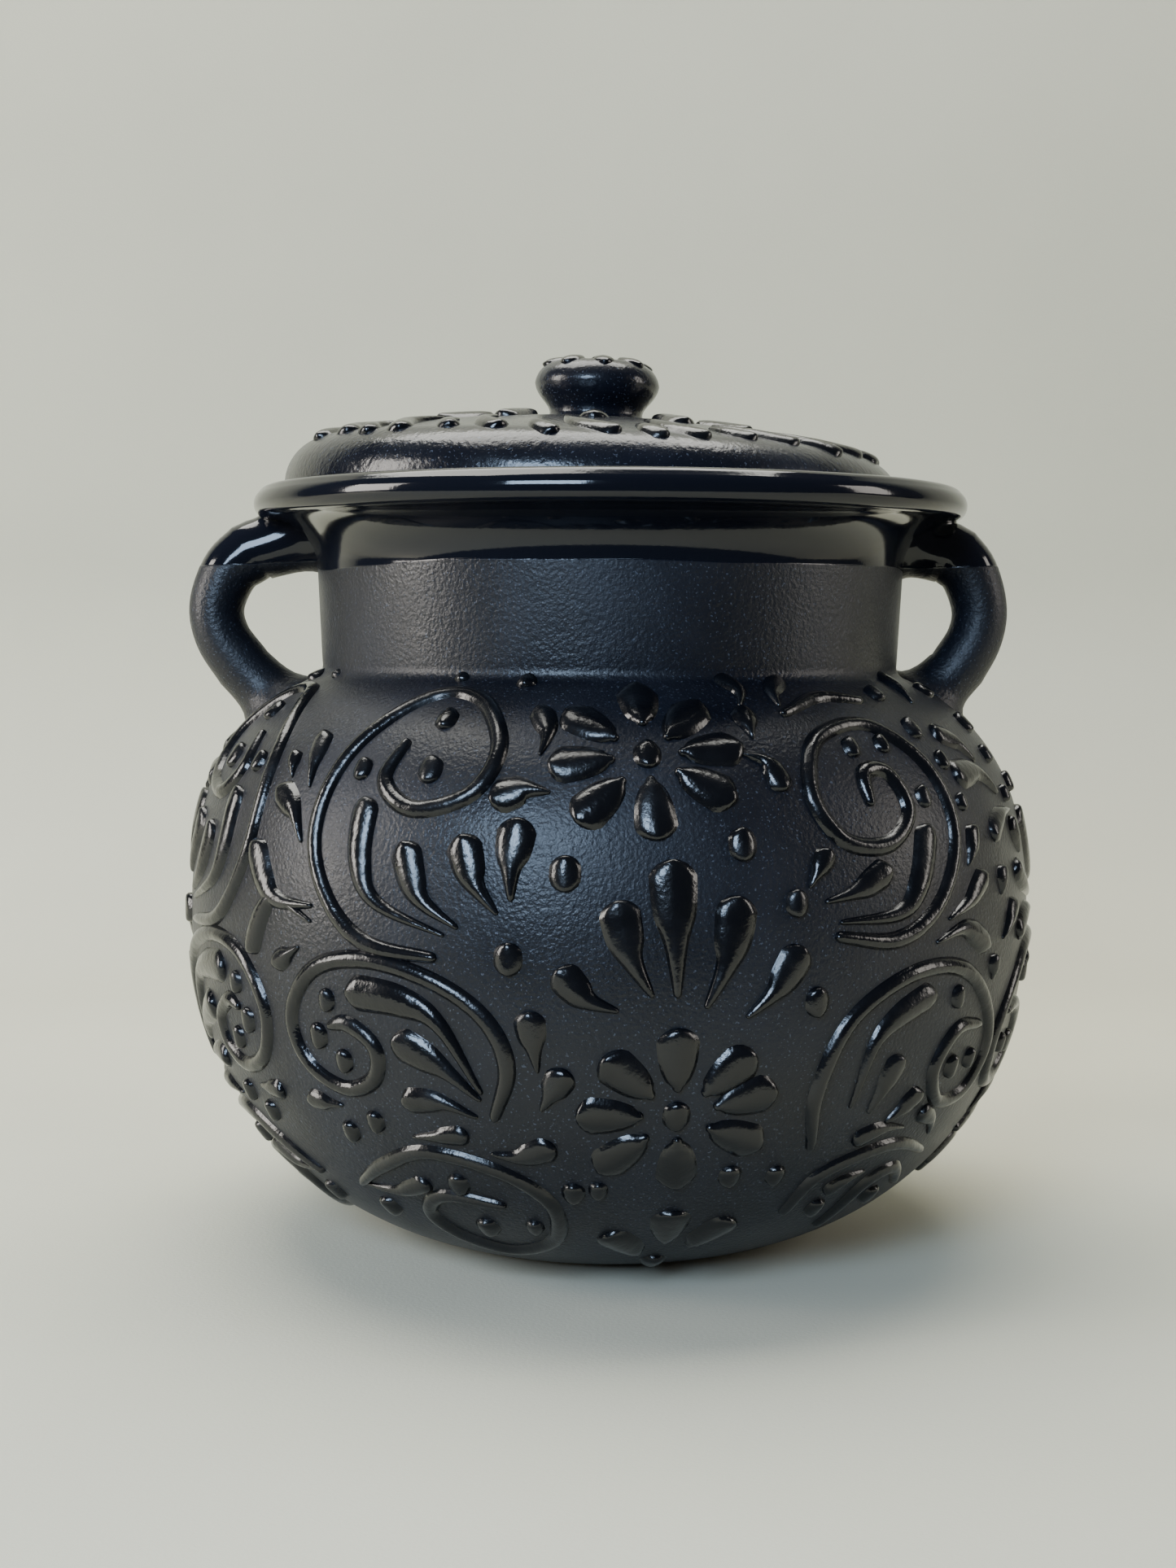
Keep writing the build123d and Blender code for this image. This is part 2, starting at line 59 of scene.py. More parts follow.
# ------------------------------------------------------------------------------- profiles
@dataclass(frozen=True)
class Arc:
    """One round stretch of a thrown profile, in the half plane of radius and height."""

    centre: Place
    radius: float

    def at(self, turn: float) -> Place:
        """Point in the direction turn, in degrees from straight outwards."""
        angle = math.radians(turn)
        return self.centre[0] + self.radius * math.cos(angle), self.centre[1] + self.radius * math.sin(angle)

    def sweep(self, start: float, stop: float, steps: int) -> Outline:
        """Points along the arc.

        Args:
            start: first direction in degrees.
            stop: last direction in degrees.
            steps: number of stretches between them.

        Returns:
            The points, both ends included.
        """
        return [self.at(start + (stop - start) * step / steps) for step in range(steps + 1)]


@dataclass(frozen=True)
class Belly:
    """The pot's wall from foot to neck: three tangent arcs."""

    widest: float = 125.0
    widest_height: float = 98.5
    middle_arc: float = 131.0
    lower_arc: float = 91.0
    shoulder_arc: float = 57.0
    lower_turn: float = -12.7
    shoulder_turn: float = 11.9
    neck_radius: float = 86.0

    @property
    def middle(self) -> Arc:
        """The wall's middle arc."""
        return Arc((self.widest - self.middle_arc, self.widest_height), self.middle_arc)

    def _tangent(self, radius: float, turn: float) -> Arc:
        """Arc of another radius that takes over from the middle arc in a direction."""
        centre = Arc(self.middle.centre, self.middle_arc - radius).at(turn)
        return Arc(centre, radius)

    @property
    def lower(self) -> Arc:
        """The arc that turns in to the foot."""
        return self._tangent(self.lower_arc, self.lower_turn)

    @property
    def shoulder(self) -> Arc:
        """The arc that turns in to the neck."""
        return self._tangent(self.shoulder_arc, self.shoulder_turn)

    def arc_at(self, height: float) -> Arc:
        """The arc that passes a height."""
        if height < self.middle.at(self.lower_turn)[1]:
            return self.lower
        if height > self.middle.at(self.shoulder_turn)[1]:
            return self.shoulder
        return self.middle

    def outline(self, grow: float, floor: float, top_radius: float, fineness: int) -> Outline:
        """Points up the wall.

        Args:
            grow: how far outside the wall the outline runs.
            floor: height of its first point.
            top_radius: radius of its last point.
            fineness: stretches on the middle arc; the others follow from it.

        Returns:
            (radius, height) points from the floor to the top.
        """
        lower, middle, shoulder = (
            Arc(arc.centre, arc.radius + grow) for arc in (self.lower, self.middle, self.shoulder)
        )
        start = math.degrees(math.asin((floor - lower.centre[1]) / lower.radius))
        stop = 90 - math.degrees(math.asin((top_radius - shoulder.centre[0]) / shoulder.radius))
        points = lower.sweep(start, self.lower_turn, 2 * fineness)
        points += middle.sweep(self.lower_turn, self.shoulder_turn, fineness)[1:]
        points += shoulder.sweep(self.shoulder_turn, stop, fineness)[1:]
        return points


# ------------------------------------------------------------------------------- surfaces
def wobble(east: float, north: float, height: float, amount: float) -> float:
    """How far hand and wheel left a thrown wall off the true round.

    Args:
        east: X part of the direction from the axis.
        north: Y part of the direction from the axis.
        height: height on the wall in millimetres.
        amount: greatest deviation, roughly, in millimetres.

    Returns:
        Millimetres outwards.
    """
    place = Vector((east, north, height / 60))
    return amount * (noise.noise(place * 0.9) + 0.35 * noise.noise(place * 2.6))


@dataclass(frozen=True)
class Skin:
    """A clay surface that slip is trailed on, addressed by azimuth and a station along its profile."""

    profile: Callable[[float], Place]
    placing: Matrix = field(default_factory=lambda: Matrix.Identity(4))
    wander: float = 0.0

    def point(self, azimuth: float, station: float) -> Vector:
        """Point of the surface, in metres."""
        radius, height = self.profile(station)
        turn = math.radians(azimuth)
        east, north = math.sin(turn), -math.cos(turn)
        radius += wobble(east, north, height, self.wander)
        return self.placing @ (Vector((radius * east, radius * north, height)) * MM)

    def measure(self, azimuth: float, station: float) -> tuple[Vector, float, float]:
        """The surface's direction and its scale at a place.

        Args:
            azimuth: degrees round the axis.
            station: place along the profile.

        Returns:
            The outward unit vector, then millimetres per degree and per unit of station.
        """
        radius, height = self.profile(station)
        radius_on, height_on = self.profile(station + 0.05)
        stretch = math.hypot(radius_on - radius, height_on - height) / 0.05
        rise = ((radius_on - radius) / (0.05 * stretch), (height_on - height) / (0.05 * stretch))
        turn = math.radians(azimuth)
        east = Vector((math.cos(turn), math.sin(turn), 0))
        north = Vector((rise[0] * math.sin(turn), -rise[0] * math.cos(turn), rise[1]))
        outward = self.placing.to_3x3() @ east.cross(north)
        return outward, math.radians(max(radius, 1.0)), stretch


# ------------------------------------------------------------------------------- mesh helpers
def new_piece(name: str, points: Sequence[Vector], faces: Sequence[Sequence[int]]) -> bpy.types.Object:
    """Make a smooth mesh object.

    Args:
        name: name of the piece.
        points: corners, in metres.
        faces: corners of each face.

    Returns:
        The new object, linked to the scene.
    """
    mesh = bpy.data.meshes.new(name)
    mesh.from_pydata([tuple(point) for point in points], [], [tuple(face) for face in faces])
    mesh.validate()
    mesh.shade_smooth()
    piece = bpy.data.objects.new(name, mesh)
    bpy.context.scene.collection.objects.link(piece)
    return piece


def lathe(
    name: str,
    outline: Sequence[Place],
    placing: Matrix | None = None,
    segments: int = 288,
    wander: float = 0.0,
) -> bpy.types.Object:
    """Turn a closed or axis-to-axis outline into a thrown piece.

    Args:
        name: name of the piece.
        outline: (radius, height) points; a radius of zero at either end closes on the axis.
        placing: where the piece's axis stands; none is the pot's own axis.
        segments: stretches round the axis.
        wander: how far hand and wheel leave the clay off the true round, in millimetres.

    Returns:
        The piece.
    """
    placing = placing or Matrix.Identity(4)
    points: list[Vector] = []
    rings: list[list[int]] = []
    for radius, height in outline:
        if radius < 1e-6:
            rings.append([len(points)])
            points.append(placing @ Vector((0, 0, height * MM)))
            continue
        ring = []
        for step in range(segments):
            turn = 2 * math.pi * step / segments
            off = wobble(math.cos(turn), math.sin(turn), height, wander)
            reach = (radius + off * min(1.0, radius / 60)) * MM
            ring.append(len(points))
            points.append(placing @ Vector((reach * math.cos(turn), reach * math.sin(turn), height * MM)))
        rings.append(ring)
    faces = []
    for low, high in zip(rings, rings[1:]):
        for step in range(segments):
            ahead = (step + 1) % segments
            if len(low) == 1:
                faces.append((low[0], high[ahead], high[step]))
            elif len(high) == 1:
                faces.append((low[step], low[ahead], high[0]))
            else:
                faces.append((low[step], low[ahead], high[ahead], high[step]))
    return new_piece(name, points, faces)


def smooth_line(points: Sequence[Sequence[float]], spacing: float) -> list[list[float]]:
    """Run an even-spaced Catmull-Rom curve through points.

    Args:
        points: control points of any number of coordinates; the first two are a place in millimetres.
        spacing: distance between the points of the curve.

    Returns:
        Points on the curve, both ends included.
    """
    rows = [list(point) for point in points]
    ghost_first = [2 * a - b for a, b in zip(rows[0], rows[1])]
    ghost_last = [2 * a - b for a, b in zip(rows[-1], rows[-2])]
    rows = [ghost_first] + rows + [ghost_last]
    dense: list[list[float]] = []
    for before, start, stop, after in zip(rows, rows[1:], rows[2:], rows[3:]):
        for step in range(16):
            t = step / 16
            dense.append(
                [
                    0.5
                    * (
                        2 * b
                        + (c - a) * t
                        + (2 * a - 5 * b + 4 * c - d) * t * t
                        + (3 * b - a - 3 * c + d) * t**3
                    )
                    for a, b, c, d in zip(before, start, stop, after)
                ]
            )
    dense.append(rows[-2])
    lengths = [0.0]
    for here, there in zip(dense, dense[1:]):
        lengths.append(lengths[-1] + math.hypot(there[0] - here[0], there[1] - here[1]))
    count = max(6, round(lengths[-1] / spacing))
    result, index = [], 0
    for step in range(count + 1):
        target = lengths[-1] * step / count
        while index < len(lengths) - 2 and lengths[index + 1] < target:
            index += 1
        span = max(lengths[index + 1] - lengths[index], 1e-9)
        share = (target - lengths[index]) / span
        result.append([a + (b - a) * share for a, b in zip(dense[index], dense[index + 1])])
    return result


# ------------------------------------------------------------------------------- slip trailing
@dataclass
class SlipGroup:
    """Strokes of slip trailed on one skin and gathered into one piece."""

    skin: Skin
    relief: float
    spacing: float = 1.3
    toe: float = 0.22
    points: list[Vector] = field(default_factory=list)
    faces: list[tuple[int, ...]] = field(default_factory=list)

    # Places across a stroke, in half widths, and the share of its height that the thin skirt takes.
    ACROSS = (-1.24, -1.1, -0.98, -0.86, -0.7, -0.5, -0.25, 0.0, 0.25, 0.5, 0.7, 0.86, 0.98, 1.1, 1.24)
    SKIRT = 0.14

    def _flat(self, line: Stroke) -> list[list[float]]:
        """The stroke's points laid flat in millimetres, each followed by its azimuth, station and width."""
        azimuth, station, _ = line[len(line) // 2]
        _, per_degree, stretch = self.skin.measure(azimuth, station)
        return [
            [(place[0] - azimuth) * per_degree, (place[1] - station) * stretch, *place] for place in line
        ]

    def _carried_past_ends(self, rows: list[list[float]]) -> list[list[float]]:
        """The same points with both ends carried on by half their width, for the round caps."""
        result = [list(row) for row in rows]
        for end, inner in ((0, 1), (-1, -2)):
            run = math.hypot(rows[end][0] - rows[inner][0], rows[end][1] - rows[inner][1])
            share = rows[end][4] / 2 / max(run, 1e-6)
            for axis in range(4):
                result[end][axis] += (rows[end][axis] - rows[inner][axis]) * share
        return result

    def _height(self, width: float) -> float:
        """How high the slip stands for a stroke of this width."""
        return self.relief * math.tanh(0.62 * width / self.relief)

    def trail(self, line: Stroke) -> None:
        """Add one stroke.

        Args:
            line: (azimuth, station, width) points from head to tail.
        """
        head, tail = line[0][2] / 2, line[-1][2] / 2
        curve = smooth_line(self._carried_past_ends(self._flat(line)), 0.4)
        lengths = [0.0]
        for here, there in zip(curve, curve[1:]):
            lengths.append(lengths[-1] + math.hypot(there[0] - here[0], there[1] - here[1]))
        total = lengths[-1]
        stations = self._stations(total, head, tail)
        rings: list[list[int]] = []
        index = 0
        for station in stations:
            while index < len(lengths) - 2 and lengths[index + 1] < station:
                index += 1
            share = (station - lengths[index]) / max(lengths[index + 1] - lengths[index], 1e-9)
            row = [a + (b - a) * share for a, b in zip(curve[index], curve[index + 1])]
            step = [b - a for a, b in zip(curve[index], curve[index + 1])]
            half = max(row[4], 0.8) / 2
            for radius, distance in ((head, station), (tail, total - station)):
                if distance < radius:
                    half = min(half, math.sqrt(max(radius**2 - (radius - distance) ** 2, 0.0)))
            rings.append(self._ring(row, step, max(half, 0.06)))
        self._close(rings)

    def _stations(self, total: float, head: float, tail: float) -> list[float]:
        """Distances along a stroke where its rings stand, close together on the round ends."""
        turns = [math.radians(angle) for angle in (0, 18, 36, 54, 72, 90)]
        first = [head * (1 - math.cos(turn)) for turn in turns]
        last = [total - tail * (1 - math.cos(turn)) for turn in reversed(turns)]
        gap = last[0] - first[-1]
        if gap < 0.2:
            middle = total / 2
            return [s for s in first if s < middle - 0.05] + [s for s in last if s > middle]
        count = max(1, round(gap / self.spacing))
        return first + [first[-1] + gap * step / count for step in range(1, count)] + last

    def _ring(self, row: list[float], step: list[float], half: float) -> list[int]:
        """Lay one cross-section over the skin.

        Args:
            row: flat x and y, azimuth, station and width of the middle.
            step: the same five, as the difference to the next point.
            half: half the stroke's width here.

        Returns:
            Indices of the section's points.
        """
        azimuth, station = row[2], row[3]
        out, per_degree, stretch = self.skin.measure(azimuth, station)
        ahead = (step[2] * per_degree, step[3] * stretch)
        size = max(math.hypot(*ahead), 1e-9)
        side = (-ahead[1] / size, ahead[0] / size)
        height = self._height(2 * half)
        ring = []
        for across in self.ACROSS:
            off = across * half
            place = self.skin.point(azimuth + off * side[0] / per_degree, station + off * side[1] / stretch)
            dome = max(1 - across**2, 0.0) ** 0.62
            skirt = self.SKIRT * (self.ACROSS[-1] - abs(across))
            lift = height * (dome + skirt) / (1 + self.SKIRT) - self.toe * across**8 / 2
            ring.append(len(self.points))
            self.points.append(place + out * lift * MM)
        return ring

    def _close(self, rings: list[list[int]]) -> None:
        """Join the rings into a closed solid."""
        count = len(self.ACROSS)
        for low, high in zip(rings, rings[1:]):
            for side in range(count):
                ahead = (side + 1) % count
                self.faces.append((low[side], high[side], high[ahead], low[ahead]))
        self.faces.append(tuple(rings[0]))
        self.faces.append(tuple(reversed(rings[-1])))

    def dot(self, azimuth: float, station: float, width: float) -> None:
        """Add one round dot."""
        _, _, stretch = self.skin.measure(azimuth, station)
        nudge = 0.1 * width / stretch
        self.trail([(azimuth, station + nudge, width), (azimuth, station - nudge, width)])

    def drop(self, head: Place, tail: Place, width: float, bend: float = 0.0) -> None:
        """Add a drop: a round head that runs out in a thin tail.

        Args:
            head: azimuth and station of the middle of the head.
            tail: azimuth and station of the tip.
            width: width of the head.
            bend: how far the middle bows to the left of head-to-tail, as a share of the length.
        """
        _, per_degree, stretch = self.skin.measure(*head)
        run = ((tail[0] - head[0]) * per_degree, (tail[1] - head[1]) * stretch)
        line = []
        for share, girth in ((0.0, 1.0), (0.25, 0.86), (0.55, 0.48), (1.0, 0.15)):
            bow = bend * 4 * share * (1 - share)
            place = (run[0] * share - run[1] * bow, run[1] * share + run[0] * bow)
            line.append((head[0] + place[0] / per_degree, head[1] + place[1] / stretch, width * girth))
        self.trail(line)

    def petal(self, middle: Place, core: Place, width: float, length: float) -> None:
        """Add a petal that points away from the core of its flower.

        Args:
            middle: azimuth and station of the petal's middle.
            core: azimuth and station of the flower's middle.
            width: greatest width.
            length: length from tip to root.
        """
        _, per_degree, stretch = self.skin.measure(*middle)
        inward = ((core[0] - middle[0]) * per_degree, (core[1] - middle[1]) * stretch)
        size = math.hypot(*inward)
        line = []
        reaches = (-0.5 * length + 0.5 * width, 0.1 * length, 0.5 * length - 1.6)
        for reach, girth in zip(reaches, (1.0, 0.8, 0.26)):
            place = (inward[0] / size * reach, inward[1] / size * reach)
            line.append((middle[0] + place[0] / per_degree, middle[1] + place[1] / stretch, width * girth))
        self.trail(line)

    def finish(self, name: str) -> bpy.types.Object:
        """Make the piece that holds all the strokes."""
        return new_piece(name, self.points, self.faces)


# ------------------------------------------------------------------------------- the pattern
class Panel(Enum):
    """The four fields that the pattern fills, going round the pot."""

    FRONT = "front"
    LEFT = "left"
    RIGHT = "right"
    BACK = "back"

    def azimuth(self, azimuth: float) -> float:
        """Where a stroke of the front panel comes on this panel."""
        if self is Panel.LEFT:
            return 2 * LEFT_STRIP - azimuth
        if self is Panel.RIGHT:
            return 2 * RIGHT_STRIP - azimuth
        if self is Panel.BACK:
            return BACK_TURN + azimuth
        return azimuth

    @property
    def hand(self) -> int:
        """1 where the panel is drawn the way the front is, -1 where it is mirrored."""
        return -1 if self in (Panel.LEFT, Panel.RIGHT) else 1


LEFT_STRIP = -45.3
RIGHT_STRIP = 61.5
BACK_TURN = 185.4

# The middle of a flower, then the middles of its petals.
FLOWERS = [
    (
        (5, 149),
        [
            (4.5, 160.8), (10.5, 157), (13.5, 150), (12, 141.5),
            (5.5, 136), (-1, 138), (-3.5, 147), (-2.5, 156),
        ],
    ),
    (
        (8.5, 58),
        [
            (8.3, 73), (14.5, 69), (17, 62), (16.3, 51.5),
            (9.2, 44.5), (2, 47.5), (0.3, 58), (2.5, 68.5),
        ],
    ),
]
FOOT_PETALS = [((10, 8), [(10, 23), (3, 16.5), (17.5, 20)])]

# Head, tail, width of the head, and bow to the left.
COLUMN_DROPS = [
    (-9.5, 158, -9, 149, 5.5, 0.1), (20, 158, 20, 153, 5.5, 0), (22, 142.5, 18, 149, 5.5, -0.2),
    (-12.5, 139, -7.5, 139.8, 7.5, 0.1), (7.5, 117.5, 8, 90, 9.6, 0), (1.5, 108.5, 5, 90, 8.2, -0.06),
    (14.8, 109, 11.5, 87, 8.6, 0.06), (-4.5, 93.2, 1, 86, 7, -0.1), (22, 97, 16.5, 84, 7.5, 0.06),
    (-9, 81.5, -8.3, 70, 6.5, 0), (-5.8, 67, -8, 59.5, 6.5, 0), (-8.5, 47.5, -15, 46, 6.5, 0.1),
]
LEFT_DROPS = [
    (-31.5, 133, -19.5, 103.8, 6.5, -0.25), (-24.5, 122.5, -17.8, 106, 7, -0.14),
    (-17, 124.5, -13, 110, 7.5, -0.08), (-11, 128.5, -11.3, 113.5, 8, -0.03),
    (-30.5, 87, -15.5, 63.5, 7.5, 0.2), (-24.5, 74, -15.8, 61.5, 7.5, 0.05),
    (-24.5, 59.5, -16.5, 56.5, 6, 0.1), (-19.5, 50.5, -26, 49, 5, 0),
    (-28, 33.5, -39, 30.5, 5, 0.1), (-41, 55.5, -36.5, 55.3, 5, 0),
]
RIGHT_DROPS = [
    (20.5, 167, 20.2, 161, 5, 0.1), (30, 166.3, 26.8, 160.8, 5, -0.1), (43, 125.5, 28.5, 106.5, 7, 0.25),
    (34.5, 117.8, 26.5, 112, 6.2, 0.05), (26.5, 122.5, 24.3, 116, 5, 0), (42, 84, 32.5, 57, 6.5, -0.2),
    (38.5, 66, 36, 54.5, 6.5, 0), (43.8, 55.7, 40.2, 50.5, 6, 0), (36.5, 46.8, 44.5, 47.4, 5, 0.1),
    (48.5, 50, 53, 42.5, 5, 0.1), (36, 31.5, 41, 35, 4.5, 0.1), (53.5, 125, 51.5, 118, 5.5, 0.05),
    (54, 112.8, 46.5, 104.5, 6, 0.05), (54, 97, 44, 98.8, 6, -0.15),
]
LEFT_LEAVES = [
    (-44, 150, -42.2, 139, 5.5, 0), (-46.5, 136, -41.3, 125, 6.5, 0.1),
    (-49.5, 119.5, -38.5, 108.5, 7.5, -0.2),
    (-49.5, 97, -38.5, 104.5, 6, 0.35), (-47.8, 145.5, -46.5, 141, 4, 0), (-43.8, 93.2, -40.5, 97.2, 5, 0),
]
RIGHT_LEAVES = [
    (57, 152, 62.8, 144.5, 6, 0.1), (56, 141.5, 66, 135.5, 7, 0.15), (61, 126, 69.5, 130, 6, 0.1),
    (64.5, 103, 61, 96, 5.5, 0), (63, 167.2, 58.5, 160.5, 5, 0), (61, 113, 60.5, 108.5, 5, 0),
    (58, 89.5, 58, 85.5, 4.5, 0),
]

# Middle and width.
COLUMN_DOTS = [
    (16, 127, 6.5), (-5, 120, 7), (22.5, 112, 5.5), (25.3, 86.5, 6), (-11.5, 98.5, 6.5), (-14.3, 166.6, 5),
    (17, 39.5, 5.5), (24, 38.5, 5), (-4.7, 35, 5.5), (-1.2, 36, 4.5),
]
LEFT_DOTS = [
    (-23.5, 144.5, 6), (-24, 157, 5.5), (-33.9, 144, 5), (-27, 167.6, 5), (-36, 84.3, 4.8), (-38, 74.3, 5.5),
    (-34.3, 68.3, 5), (-36.5, 47.8, 5), (-31.5, 52, 5), (-20, 21, 6), (-11.6, 22.5, 4.5), (-21.5, 35.5, 5.5),
    (-38, 23.6, 6),
]
RIGHT_DOTS = [
    (35, 150, 4.8), (44.6, 136.8, 4.8), (41, 150.5, 4.5), (50.3, 154, 5.5), (52.4, 145.5, 4.5), (50, 163, 5),
    (49, 83, 5), (50.8, 63, 5.2), (55.3, 64, 4.5), (35.5, 24.8, 5.5), (48.5, 24.8, 5.5), (52.8, 134.5, 4),
]

# Points that a trailed line runs through, with its width.
SCROLL_WIDTH = 4.8
LEFT_SCROLLS = [
    [
        (-21, 98), (-30, 100.5), (-36, 111.5), (-39, 128), (-37, 149), (-29.5, 162.3),
        (-20, 162), (-14.8, 151.5), (-17, 139.5), (-24.5, 134.8), (-29.8, 141.5), (-28.5, 151),
    ],
    [
        (-14, 57), (-12, 70), (-14.5, 83), (-21, 92), (-30, 96), (-38, 92), (-42.5, 79),
        (-40.8, 66.5), (-35, 60.5), (-30, 64.5), (-29.3, 73), (-33, 78.5), (-35.5, 77.5),
    ],
    [
        (-40, 31), (-33, 38.5), (-24.5, 44.6), (-14, 40), (-8, 30), (-9, 17.5), (-18, 12),
        (-26.5, 16), (-29.5, 24), (-24.5, 31), (-16, 29.5),
    ],
]
RIGHT_SCROLLS = [
    [
        (28.2, 102.8), (37, 100.8), (44.5, 109), (49.2, 126), (47.7, 145), (40, 155.6), (29.5, 152),
        (26.2, 139), (29.8, 127), (36.5, 125.5), (41, 133.5), (39.3, 143.5), (35.2, 143.5), (34.8, 136.5),
    ],
    [(26.8, 158.8), (35, 162.6), (43.5, 161.5)],
    [
        (28, 46.5), (26.8, 62), (30.5, 81), (39.5, 91.2), (49.5, 90.5), (56.8, 79.5), (60.2, 66), (57, 54),
        (50.2, 53.5), (46.7, 63.5), (50, 73.5), (55.5, 73.5),
    ],
    [(29.2, 25.5), (32, 37), (43.5, 42.3), (53.5, 37.5)],
    [(41.8, 17), (43.2, 30), (48.5, 33.5), (53.7, 27.5)],
]


@dataclass
class Ornament:
    """The slip trailed on the belly: flowers, sprays of drops, scrolls and dots, panel by panel."""

    skin: Skin
    relief: float = 1.9
    petal_width: float = 11.4
    petal_length: float = 17.4
    core_width: float = 7.0
    drop_spread: float = 1.3
    dot_spread: float = 1.12
    handle_azimuth: float = 90.0
    handle_clearance: float = 9.5
    handle_foot: float = 148.0

    def _clear(self, azimuth: float, height: float) -> bool:
        """Whether a stroke stands clear of the places where the handles land."""
        return height < self.handle_foot or abs(abs(azimuth) - self.handle_azimuth) > self.handle_clearance

    def _flowers(self, group: SlipGroup, panel: Panel) -> None:
        """Add the petals of a panel's flowers."""
        for core, petals in FLOWERS + FOOT_PETALS:
            middle = (panel.azimuth(core[0]), core[1])
            group.dot(*middle, self.core_width)
            for azimuth, height in petals:
                place = (panel.azimuth(azimuth), height)
                if self._clear(*place):
                    group.petal(place, middle, self.petal_width, self.petal_length)

    def _drops(self, group: SlipGroup, panel: Panel, strokes: Iterable[tuple[float, ...]]) -> None:
        """Add drops that run out in a tail."""
        for head_azimuth, head_height, tail_azimuth, tail_height, width, bow in strokes:
            head = (panel.azimuth(head_azimuth), head_height)
            if self._clear(*head):
                tail = (panel.azimuth(tail_azimuth), tail_height)
                group.drop(head, tail, width * self.drop_spread, bow * panel.hand)

    def _dots(self, group: SlipGroup, panel: Panel, dots: Iterable[tuple[float, float, float]]) -> None:
        """Add round dots."""
        for azimuth, height, width in dots:
            if self._clear(panel.azimuth(azimuth), height):
                group.dot(panel.azimuth(azimuth), height, width * self.dot_spread)

    def _scrolls(self, group: SlipGroup, panel: Panel, lines: Iterable[Outline]) -> None:
        """Add trailed lines that curl up in a spiral."""
        for line in lines:
            last = len(line) - 1
            widths = [SCROLL_WIDTH * (0.62 if step in (0, last) else 1.0) for step in range(last + 1)]
            places = [(panel.azimuth(azimuth), height) for azimuth, height in line]
            if all(self._clear(*place) for place in places):
                group.trail([(*place, width) for place, width in zip(places, widths)])

    def trail(self, panel: Panel) -> SlipGroup:
        """Trail one panel of the pattern; the back has the middle column only."""
        group = SlipGroup(self.skin, self.relief)
        self._flowers(group, panel)
        self._drops(group, panel, COLUMN_DROPS)
        self._dots(group, panel, COLUMN_DOTS)
        if panel is not Panel.BACK:
            self._drops(group, panel, LEFT_DROPS + RIGHT_DROPS)
            self._dots(group, panel, LEFT_DOTS + RIGHT_DOTS)
            self._scrolls(group, panel, LEFT_SCROLLS + RIGHT_SCROLLS)
        if panel is Panel.FRONT:
            self._drops(group, panel, LEFT_LEAVES + RIGHT_LEAVES)
        return group


# ------------------------------------------------------------------------------- thrown pieces
def through(first: Place, middle: Place, last: Place, steps: int) -> Outline:
    """Points along the arc through three points.

    Args:
        first: where the arc starts.
        middle: a point on it.
        last: where it ends.
        steps: number of stretches.

    Returns:
        The points, both ends included.
    """
    (ax, ay), (bx, by), (cx, cy) = first, middle, last
    double = 2 * (ax * (by - cy) + bx * (cy - ay) + cx * (ay - by))
    squares = [x * x + y * y for x, y in (first, middle, last)]
    centre_x = (squares[0] * (by - cy) + squares[1] * (cy - ay) + squares[2] * (ay - by)) / double
    centre_y = (squares[0] * (cx - bx) + squares[1] * (ax - cx) + squares[2] * (bx - ax)) / double
    start = math.atan2(ay - centre_y, ax - centre_x)
    sweep = (math.atan2(cy - centre_y, cx - centre_x) - start) % (2 * math.pi)
    if double < 0:
        sweep -= 2 * math.pi
    arc = Arc((centre_x, centre_y), math.hypot(ax - centre_x, ay - centre_y))
    return arc.sweep(math.degrees(start), math.degrees(start + sweep), steps)


